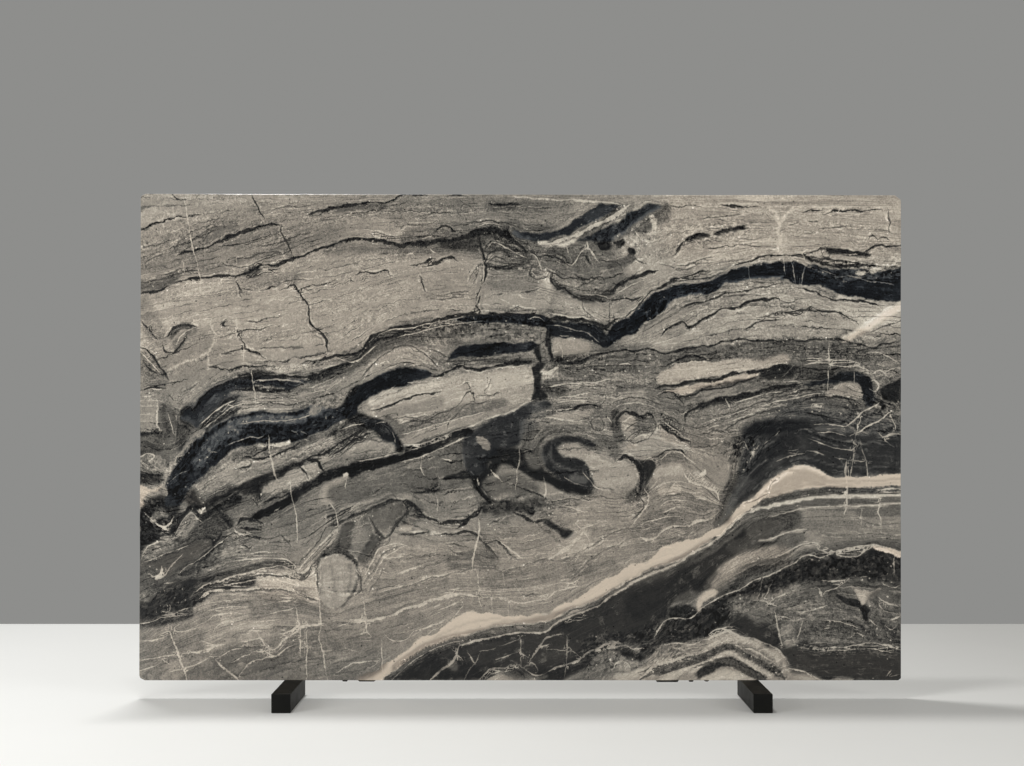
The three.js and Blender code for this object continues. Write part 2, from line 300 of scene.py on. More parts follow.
# Dark bodies: tone, warmth, softness of the edge in pixels, outline.
DARK_BODIES = [
    # the top seams
    (0.13, -0.6, 1.2, [
        (512, 227), (522, 232), (540, 233), (556, 233), (573, 221), (586, 213), (600, 205), (622, 204),
        (612, 211), (596, 221), (578, 228), (562, 236), (548, 240), (532, 241), (518, 238)]),
    (0.12, -0.6, 1.5, [
        (575, 240), (590, 236), (603, 228), (615, 224), (622, 218), (628, 212), (640, 208), (648, 205),
        (664, 205), (656, 211), (648, 216), (640, 222), (634, 225), (628, 231), (620, 237), (612, 241),
        (600, 243)]),
    (COAL, 0, CRISP, [(598, 243), (606, 241), (613, 244), (610, 250), (600, 250)]),
    (COAL, 0, CRISP, [(614, 240), (622, 240), (625, 245), (618, 248)]),
    (COAL, 0, CRISP, [(627, 248), (634, 247), (637, 253), (630, 257)]),
    # the main black band
    (BLACK, -0.8, 0.9, [
        (606, 342), (612, 327), (620, 321), (628, 318), (634, 313), (641, 305), (648, 298), (656, 293),
        (664, 289), (674, 286), (686, 285), (700, 284), (712, 279), (722, 274), (735, 269), (747, 266),
        (760, 264), (782, 262), (805, 265), (816, 271), (830, 278), (842, 281), (860, 280), (880, 279),
        (902, 278), (902, 300), (880, 300), (867, 299), (855, 297), (842, 295), (832, 290), (818, 286),
        (808, 285), (797, 283), (788, 280), (775, 279), (760, 279), (745, 281), (733, 283), (722, 286),
        (714, 291), (706, 295), (697, 297), (688, 296), (680, 299), (672, 304), (664, 309), (657, 315),
        (650, 319), (643, 324), (640, 329), (634, 333), (625, 337), (615, 342), (609, 348)]),
    (0.14, -0.6, 1.0, [
        (808, 263), (820, 267), (835, 270), (850, 270), (862, 269), (880, 272), (902, 269), (902, 279),
        (860, 281), (836, 282), (820, 274)]),
    (BLACK, -0.6, 1.0, [
        (449, 320), (465, 317), (482, 315), (500, 315), (515, 314), (530, 316), (548, 317), (548, 326),
        (530, 325), (515, 324), (498, 324), (480, 323), (462, 322)]),
    (COAL, -0.5, 1.2, [
        (542, 319), (560, 321), (580, 322), (592, 325), (603, 330), (608, 334), (612, 332), (612, 340),
        (607, 349), (600, 345), (592, 341), (580, 338), (562, 338), (550, 334)]),
    # the lens and the channels in the middle
    (BLACK, -0.6, 1.2, [
        (447, 361), (452, 353), (458, 347), (478, 344), (505, 344), (526, 342), (541, 345), (535, 350),
        (512, 354), (490, 356), (475, 358), (460, 357)]),
    (COAL, 0, 1.2, [(535, 346), (541, 343), (542, 352), (541, 362), (537, 362), (535, 355)]),
    (COAL, 0, 1.2, [
        (548, 328), (553, 331), (551, 342), (552, 356), (556, 362), (551, 364), (548, 352)]),
    (COAL, 0, 2, [
        (531, 366), (545, 364), (541, 375), (543, 388), (548, 400), (538, 403), (531, 402), (534, 392),
        (533, 378)]),
    # the belt that runs up from the left edge
    (0.20, -0.5, 1.5, [
        (181, 419), (184, 411), (190, 409), (195, 413), (199, 404), (204, 396), (212, 391), (222, 386),
        (232, 382), (243, 379), (256, 377), (268, 378), (284, 381), (306, 380), (312, 382), (300, 384),
        (294, 388), (284, 389), (270, 385), (256, 385), (244, 387), (236, 389), (230, 394), (224, 401),
        (214, 410), (205, 419), (198, 429), (192, 425), (187, 421)]),
    (BLACK, -0.6, 1.2, [
        (165, 490), (167, 480), (175, 468), (183, 455), (190, 447), (197, 440), (205, 435), (214, 428),
        (223, 422), (233, 417), (245, 414), (258, 411), (270, 413), (283, 413), (295, 411), (305, 408),
        (315, 405), (330, 408), (343, 405), (350, 398), (358, 390), (362, 383), (374, 379), (382, 372),
        (400, 369), (418, 367), (432, 374), (425, 379), (415, 380), (408, 386), (392, 388), (378, 393),
        (368, 400), (360, 405), (358, 412), (352, 417), (340, 421), (325, 430), (315, 434), (305, 438),
        (295, 442), (283, 441), (260, 444), (250, 446), (238, 447), (230, 450), (224, 458), (218, 462),
        (210, 468), (203, 475), (197, 482), (190, 489), (184, 502), (175, 508), (165, 505)]),
    (COAL, 0.2, 2, [
        (199, 515), (197, 507), (205, 501), (213, 497), (222, 493), (232, 488), (241, 484), (252, 478),
        (262, 475), (275, 471), (290, 465), (301, 461), (308, 460), (302, 466), (290, 472), (278, 480),
        (268, 483), (262, 489), (257, 496), (250, 493), (243, 494), (238, 491), (230, 496), (221, 501),
        (212, 506), (205, 512)]),
    (BLACK, 0, 1.2, [
        (249, 521), (257, 512), (265, 508), (275, 503), (285, 497), (293, 491), (300, 487), (305, 483),
        (312, 480), (321, 474), (330, 470), (340, 466), (352, 463), (362, 460), (372, 458), (386, 457),
        (400, 454), (410, 450), (420, 446), (432, 440), (445, 435), (458, 430), (470, 427), (474, 432),
        (465, 437), (455, 441), (442, 447), (430, 453), (418, 457), (405, 461), (390, 465), (375, 469),
        (362, 473), (350, 478), (345, 475), (335, 478), (325, 482), (318, 485), (312, 489), (305, 493),
        (298, 500), (293, 503), (285, 507), (275, 512), (265, 518), (256, 522)]),
    (COAL, -0.3, 1.5, [
        (358, 418), (370, 420), (380, 420), (388, 424), (394, 430), (398, 437), (401, 446), (396, 449),
        (390, 445), (383, 440), (378, 434), (370, 431)]),
    # the knot in the middle
    (CHARCOAL, -0.3, 2.5, [
        (464, 437), (478, 427), (495, 418), (512, 411), (530, 404), (549, 402), (552, 407), (540, 411),
        (530, 416), (524, 424), (523, 437), (519, 446), (508, 448), (500, 448), (497, 456), (488, 462),
        (485, 472), (478, 478), (468, 477), (464, 462), (462, 447)]),
    (0.09, 0, 2, [
        (478, 480), (484, 466), (490, 457), (500, 451), (512, 449), (522, 452), (531, 457), (538, 464),
        (546, 470), (553, 474), (562, 476), (572, 481), (584, 487), (592, 492), (580, 495), (568, 493),
        (558, 488), (548, 483), (536, 480), (526, 473), (515, 468), (505, 463), (497, 464), (490, 471),
        (485, 483)]),
    (0.14, -0.2, 2, [
        (541, 453), (544, 446), (549, 441), (557, 437), (568, 436), (580, 437), (590, 441), (597, 447),
        (588, 447), (578, 444), (566, 442), (558, 446), (557, 452), (563, 456), (575, 458), (585, 461),
        (591, 468), (594, 480), (592, 489), (584, 490), (572, 486), (560, 480), (549, 471),
        (543, 462)]),
    (BLACK, 0, CRISP, [
        (443, 479), (446, 474), (456, 472), (470, 469), (478, 474), (485, 484), (493, 495), (501, 503),
        (496, 509), (488, 504), (480, 496), (473, 486), (468, 479), (455, 480)]),
    (SLATE, 0, 4, [
        (478, 504), (490, 502), (505, 503), (520, 500), (540, 496), (552, 500), (546, 506), (530, 508),
        (520, 512), (500, 515), (482, 514)]),
    (0.12, 0, 2, [
        (542, 520), (551, 520), (557, 525), (564, 529), (572, 532), (578, 536), (571, 540), (562, 536),
        (554, 530), (547, 526)]),
    (0.15, 0, 1.5, [
        (628, 456), (636, 459), (644, 461), (652, 461), (656, 460), (654, 470), (650, 480), (645, 488),
        (641, 490), (639, 482), (640, 474), (637, 466), (632, 460)]),
    (0.07, -0.5, 1.2, [
        (796, 388), (806, 384), (818, 381), (828, 379), (836, 375), (846, 372), (856, 371), (864, 374),
        (870, 380), (874, 389), (875, 398), (871, 406), (866, 407), (863, 400), (861, 390), (857, 383),
        (846, 381), (836, 384), (824, 385), (812, 387)]),
    (0.15, 0, 1.2, [
        (758, 376), (762, 371), (772, 368), (785, 364), (794, 362), (796, 370), (793, 378), (780, 380),
        (768, 379)]),
    (COAL, 0, CRISP, [
        (364, 517), (370, 510), (379, 507), (392, 501), (385, 508), (377, 515), (369, 520)]),
    (CHARCOAL, 0, 2, [
        (346, 523), (354, 522), (350, 532), (343, 544), (337, 552), (332, 550), (339, 538)]),
    (CHARCOAL, 0, 1.5, [
        (372, 533), (380, 531), (384, 537), (376, 545), (369, 553), (361, 561), (359, 557),
        (364, 546)]),
    # the left edge
    (BLACK, 0, CRISP, [
        (139, 508), (147, 505), (152, 510), (151, 518), (155, 526), (162, 530), (170, 528), (176, 520),
        (181, 513), (188, 506), (196, 502), (200, 508), (197, 514), (190, 512), (184, 519), (178, 528),
        (170, 537), (160, 540), (150, 545), (143, 552), (139, 556)]),
    (CHARCOAL, 0.4, 3, [
        (182, 500), (188, 491), (194, 488), (199, 497), (202, 503), (197, 508), (188, 506)]),
    (SLATE, 0.3, 5, [
        (139, 560), (150, 561), (162, 558), (176, 551), (190, 545), (206, 540), (212, 543), (204, 554),
        (194, 563), (178, 568), (168, 578), (160, 575), (150, 566), (139, 572)]),
    (COAL, 0.2, 2.5, [
        (139, 603), (147, 602), (151, 597), (157, 592), (163, 585), (173, 581), (186, 580), (200, 578),
        (215, 575), (230, 571), (245, 568), (256, 566), (250, 570), (234, 574), (220, 579), (208, 583),
        (200, 588), (193, 594), (190, 598), (193, 604), (190, 610), (180, 612), (168, 615), (155, 618),
        (139, 622)]),
    # the right edge
    (COAL, 0, CRISP, [
        (880, 395), (884, 386), (893, 381), (902, 380), (902, 401), (892, 402), (885, 401)]),
    (CHARCOAL, -0.2, 4, [
        (716, 527), (721, 514), (727, 499), (733, 485), (738, 472), (740, 456), (741, 440), (743, 427),
        (757, 421), (777, 419), (790, 417), (806, 417), (822, 420), (838, 425), (852, 431), (868, 435),
        (902, 434), (902, 474), (885, 474), (873, 477), (847, 477), (830, 477), (815, 469), (800, 466),
        (785, 471), (770, 481), (757, 493), (742, 503)]),
    # below the cream band
    (COAL, 0.1, 5, [
        (388, 681), (400, 672), (413, 663), (422, 655), (437, 648), (457, 643), (480, 638), (512, 634),
        (545, 631), (560, 621), (590, 609), (615, 595), (632, 585), (655, 573), (685, 561), (708, 546),
        (720, 540), (742, 528), (757, 521), (772, 519), (784, 522), (776, 530), (768, 538), (757, 546),
        (745, 551), (732, 557), (722, 565), (712, 577), (704, 588), (690, 597), (680, 600), (672, 608),
        (668, 617), (660, 624), (655, 632), (648, 641), (638, 646), (628, 644), (620, 646), (605, 649),
        (595, 653), (585, 659), (572, 664), (560, 669), (548, 675), (538, 681), (524, 672), (514, 666),
        (505, 668), (495, 673), (484, 681)]),
    (COAL, 0.2, 2.5, [
        (536, 681), (548, 677), (560, 671), (574, 667), (584, 661), (596, 656), (608, 651), (620, 647),
        (632, 650), (642, 655), (650, 650), (652, 643), (656, 634), (661, 626), (669, 620), (682, 620),
        (695, 618), (704, 610), (712, 604), (722, 598), (735, 593), (745, 588), (755, 582), (765, 579),
        (776, 575), (785, 569), (794, 565), (802, 559), (812, 557), (820, 560), (832, 557), (845, 559),
        (858, 558), (866, 552), (878, 549), (886, 554), (892, 560), (902, 562), (902, 582), (888, 580),
        (860, 577), (835, 579), (820, 581), (806, 579), (797, 584), (786, 591), (776, 598), (765, 597),
        (757, 600), (735, 598), (724, 603), (718, 612), (716, 622), (708, 630), (700, 638), (690, 643),
        (665, 642), (658, 652), (648, 659), (634, 661), (622, 655), (610, 655), (600, 660), (588, 662),
        (578, 672), (566, 678), (554, 681)]),
    (BLACK, 0, CRISP, [
        (833, 592), (841, 596), (850, 599), (859, 602), (872, 607), (868, 614), (867, 623), (862, 616),
        (858, 609), (849, 606), (842, 602), (836, 598)]),
    (CHARCOAL, 0.1, 5, [
        (735, 614), (750, 618), (765, 622), (776, 630), (780, 642), (770, 645), (757, 640), (745, 637),
        (735, 632), (728, 626)]),
    (CHARCOAL, 0.3, 4, [
        (782, 646), (800, 650), (820, 652), (850, 651), (880, 650), (902, 655), (902, 679), (870, 678),
        (850, 677), (835, 676), (822, 678), (812, 673), (803, 670), (797, 668), (790, 663),
        (783, 655)]),
]

# Pale bodies, which lie over the dark ones: tone, warmth, softness, outline.
PALE_BODIES = [
    # the cream band
    (0.76, 0.8, 0.7, [
        (354, 682), (362, 675), (370, 671), (378, 670), (382, 665), (394, 659), (407, 650), (412, 646),
        (415, 641), (420, 638), (430, 636), (438, 633), (442, 627), (447, 623), (453, 620), (458, 616),
        (463, 613), (470, 611), (480, 613), (493, 613), (505, 616), (520, 615), (530, 616), (537, 613),
        (545, 616), (552, 611), (558, 607), (565, 603), (572, 601), (580, 596), (587, 591), (595, 587),
        (600, 582), (612, 577), (622, 572), (628, 566), (637, 563), (648, 561), (655, 555), (660, 550),
        (667, 545), (675, 543), (690, 539), (700, 537), (707, 532), (715, 529), (720, 526), (727, 519),
        (735, 510), (742, 503), (750, 500), (757, 493), (763, 487), (770, 481), (777, 476), (785, 471),
        (792, 467), (800, 466), (808, 466), (815, 468), (822, 472), (828, 476), (835, 478), (847, 477),
        (860, 477), (873, 477), (885, 474), (895, 473), (903, 474), (903, 485), (885, 486), (865, 487),
        (850, 488), (820, 487), (805, 488), (795, 490), (785, 494), (775, 498), (765, 499), (755, 505),
        (747, 512), (740, 517), (730, 525), (722, 533), (715, 537), (705, 543), (697, 549), (688, 555),
        (680, 559), (668, 563), (655, 567), (645, 571), (635, 577), (622, 583), (612, 589), (600, 597),
        (585, 603), (575, 607), (565, 612), (555, 618), (545, 621), (530, 622), (512, 623), (500, 625),
        (487, 628), (470, 633), (457, 638), (445, 642), (432, 647), (421, 652), (412, 659), (405, 664),
        (395, 670), (385, 677), (380, 682)]),
    (0.58, 0.3, CRISP, [
        (660, 424), (666, 430), (675, 436), (683, 440), (690, 443), (684, 448), (676, 449), (664, 450),
        (655, 453), (645, 455), (632, 452), (624, 449), (632, 444), (642, 441), (650, 437),
        (656, 431)]),
    # the pale blocks
    (0.63, 0.1, CRISP, [
        (362, 417), (370, 411), (378, 402), (390, 394), (405, 389), (425, 385), (445, 379), (465, 374),
        (490, 371), (515, 367), (529, 366), (533, 375), (533, 392), (530, 402), (515, 408), (500, 413),
        (485, 418), (470, 424), (455, 429), (440, 434), (425, 439), (410, 444), (402, 444), (399, 437),
        (394, 429), (388, 422), (378, 418)]),
    (0.57, 0.2, CRISP, [
        (553, 341), (566, 340), (580, 340), (588, 343), (592, 348), (587, 356), (579, 359), (566, 359),
        (556, 358), (552, 349)]),
    (0.62, 0.1, 1.5, [
        (557, 449), (562, 445), (570, 443), (580, 446), (588, 450), (596, 454), (604, 459), (611, 463),
        (617, 463), (623, 459), (629, 462), (634, 468), (637, 474), (637, 482), (634, 489), (625, 491),
        (612, 492), (603, 490), (596, 485), (591, 477), (589, 469), (585, 462), (577, 458),
        (565, 456)]),
    (0.58, 0.0, 2, [
        (622, 452), (632, 446), (642, 438), (651, 430), (658, 424), (665, 431), (674, 438), (684, 444),
        (691, 449), (684, 453), (672, 450), (661, 453), (652, 457), (640, 456)]),
    (0.66, 0.3, CRISP, [
        (656, 382), (659, 374), (668, 369), (678, 364), (690, 361), (715, 361), (735, 359), (755, 357),
        (772, 355), (785, 354), (792, 359), (790, 363), (775, 366), (755, 369), (735, 372), (715, 376),
        (695, 379), (678, 383), (664, 386)]),
    (0.70, 0.6, CRISP, [
        (664, 392), (676, 388), (692, 385), (712, 380), (735, 376), (757, 372), (756, 376), (738, 382),
        (720, 386), (700, 390), (682, 394)]),
    (0.58, 0.1, CRISP, [
        (540, 418), (549, 415), (562, 413), (580, 410), (595, 409), (589, 416), (578, 419),
        (562, 419)]),
    (0.58, 0.2, CRISP, [
        (620, 420), (624, 415), (631, 414), (636, 418), (637, 424), (632, 430), (625, 432),
        (621, 428)]),
    (0.64, 0.2, 1.5, [
        (653, 475), (657, 468), (665, 466), (673, 465), (681, 464), (685, 471), (681, 476), (672, 475),
        (662, 477), (655, 480)]),
    (0.68, 0.4, 1.2, [
        (657, 492), (659, 488), (665, 487), (668, 490), (672, 485), (680, 485), (682, 491), (673, 494),
        (660, 494)]),
    (0.56, 0.1, CRISP, [
        (318, 558), (325, 555), (335, 553), (345, 555), (353, 561), (358, 571), (358, 582), (354, 591),
        (348, 596), (343, 603), (336, 609), (329, 608), (323, 603), (320, 595), (318, 586), (320, 575),
        (318, 566)]),
    (0.58, 0.2, CRISP, [
        (824, 397), (829, 390), (837, 385), (847, 382), (857, 384), (862, 391), (860, 398), (851, 397),
        (841, 395), (832, 397)]),
    (0.80, 0.7, 3, [
        (842, 341), (852, 334), (862, 328), (873, 320), (885, 312), (902, 303), (902, 309), (888, 318),
        (873, 327), (862, 334), (850, 341)]),
    (0.55, 0.1, 1.5, [
        (374, 522), (381, 513), (389, 505), (398, 502), (404, 506), (405, 512), (398, 521), (391, 529),
        (384, 535), (379, 529)]),
    (0.45, 0.0, 3, [
        (363, 526), (372, 533), (366, 544), (361, 556), (353, 556), (345, 552), (351, 544),
        (357, 535)]),
    (0.66, 0.2, CRISP, [(400, 531), (402, 524), (407, 520), (414, 518), (412, 524), (410, 531)]),
    (0.5, 0.1, 2, [
        (487, 492), (488, 480), (492, 470), (498, 464), (505, 463), (516, 468), (527, 474), (536, 480),
        (546, 483), (553, 487), (563, 493), (557, 497), (545, 495), (530, 491), (515, 492), (503, 498),
        (496, 501)]),
    (0.57, 0.0, 1.5, [
        (262, 493), (264, 488), (272, 482), (282, 477), (292, 471), (300, 469), (310, 475), (319, 472),
        (316, 476), (305, 481), (295, 487), (284, 490), (273, 494)]),
    (0.58, 0.0, CRISP, [(302, 466), (309, 463), (316, 465), (320, 471), (312, 474), (305, 470)]),
    (0.56, 0.1, 3, [
        (330, 481), (338, 477), (344, 479), (345, 488), (340, 495), (333, 503), (325, 507), (320, 500),
        (324, 488)]),
    # the left edge
    (0.70, 0.8, 1.2, [
        (138, 486), (143, 485), (148, 489), (155, 489), (161, 484), (160, 489), (153, 493), (146, 495),
        (144, 500), (144, 506), (138, 508)]),
    (0.66, 0.4, CRISP, [(138, 475), (155, 475), (161, 477), (159, 481), (152, 482), (138, 480)]),
    (0.50, 0.2, CRISP, [
        (146, 498), (152, 493), (160, 488), (167, 487), (167, 495), (160, 501), (152, 503)]),
    (0.45, 0.0, 2, [
        (154, 518), (161, 511), (170, 508), (180, 504), (187, 503), (180, 511), (174, 518), (168, 525),
        (160, 526)]),
    (0.47, 0.0, 2, [
        (143, 556), (147, 549), (155, 545), (165, 541), (174, 541), (176, 547), (168, 552), (158, 557),
        (148, 559)]),
    # the lower right
    (0.58, 0.2, 2, [
        (650, 658), (656, 651), (662, 645), (676, 643), (690, 643), (703, 639), (713, 635), (725, 633),
        (736, 635), (746, 639), (758, 641), (768, 644), (777, 649), (784, 656), (791, 665), (798, 669),
        (808, 673), (818, 678), (820, 682), (620, 682), (630, 674), (640, 668), (648, 664)]),
    (0.72, 0.6, 1.2, [
        (696, 612), (697, 603), (699, 597), (704, 592), (711, 589), (718, 589), (716, 596), (707, 599),
        (702, 606), (700, 613)]),
    (0.66, 0.3, CRISP, [
        (853, 588), (862, 590), (871, 590), (881, 588), (877, 596), (868, 600), (863, 605),
        (858, 598)]),
    (0.85, 0.9, CRISP, [
        (871, 548), (880, 546), (890, 548), (902, 552), (902, 558), (892, 554), (882, 551)]),
    (0.62, 0.2, CRISP, [
        (488, 682), (492, 677), (500, 675), (508, 677), (515, 673), (520, 674), (519, 682)]),
    (0.85, 0.0, 1.5, [(817, 591), (821, 590), (823, 594), (820, 597), (817, 595)]),
    # white lumps
    (0.90, 0.0, CRISP, [
        (196, 511), (202, 509), (204, 505), (206, 509), (206, 512), (202, 513), (199, 516)]),
    (0.92, 0.0, CRISP, [
        (269, 445), (275, 442), (282, 443), (290, 440), (288, 444), (283, 448), (275, 446)]),
    (0.75, 0.0, CRISP, [(258, 446), (263, 445), (264, 448), (259, 448)]),
    (0.75, 0.0, CRISP, [(343, 474), (348, 473), (347, 477), (343, 477)]),
    (0.80, 0.0, CRISP, [(437, 476), (441, 473), (446, 474), (444, 477), (439, 478)]),
    (0.80, 0.0, CRISP, [(477, 478), (479, 479), (480, 485), (479, 489), (477, 485)]),
    (0.72, 0.0, CRISP, [(415, 531), (421, 530), (422, 533), (416, 534)]),
    (0.72, 0.0, CRISP, [(430, 532), (438, 532), (436, 535), (431, 535)]),
    (0.80, 0.1, CRISP, [(699, 475), (703, 472), (706, 469), (706, 474), (702, 477)]),
    (0.66, 0.1, 1.2, [(694, 472), (699, 471), (700, 474), (696, 475)]),
    (0.69, 0.3, CRISP, [
        (550, 559), (560, 553), (572, 543), (580, 533), (588, 537), (584, 547), (575, 553),
        (562, 558)]),
    (0.52, 0.2, CRISP, [
        (475, 437), (484, 436), (488, 442), (490, 448), (487, 450), (480, 445), (476, 441)]),
    (0.60, 0.0, CRISP, [(750, 452), (753, 450), (757, 452), (754, 455), (751, 456)]),
    (0.55, 0.0, CRISP, [(752, 443), (755, 442), (756, 445), (753, 446)]),
    (0.75, 0.0, CRISP, [(856, 274), (862, 271), (867, 273), (861, 277)]),
    (0.70, 0.0, CRISP, [(870, 271), (880, 266), (879, 270), (872, 274)]),
    (0.75, 0.0, CRISP, [(838, 296), (843, 295), (848, 299), (842, 299)]),
]

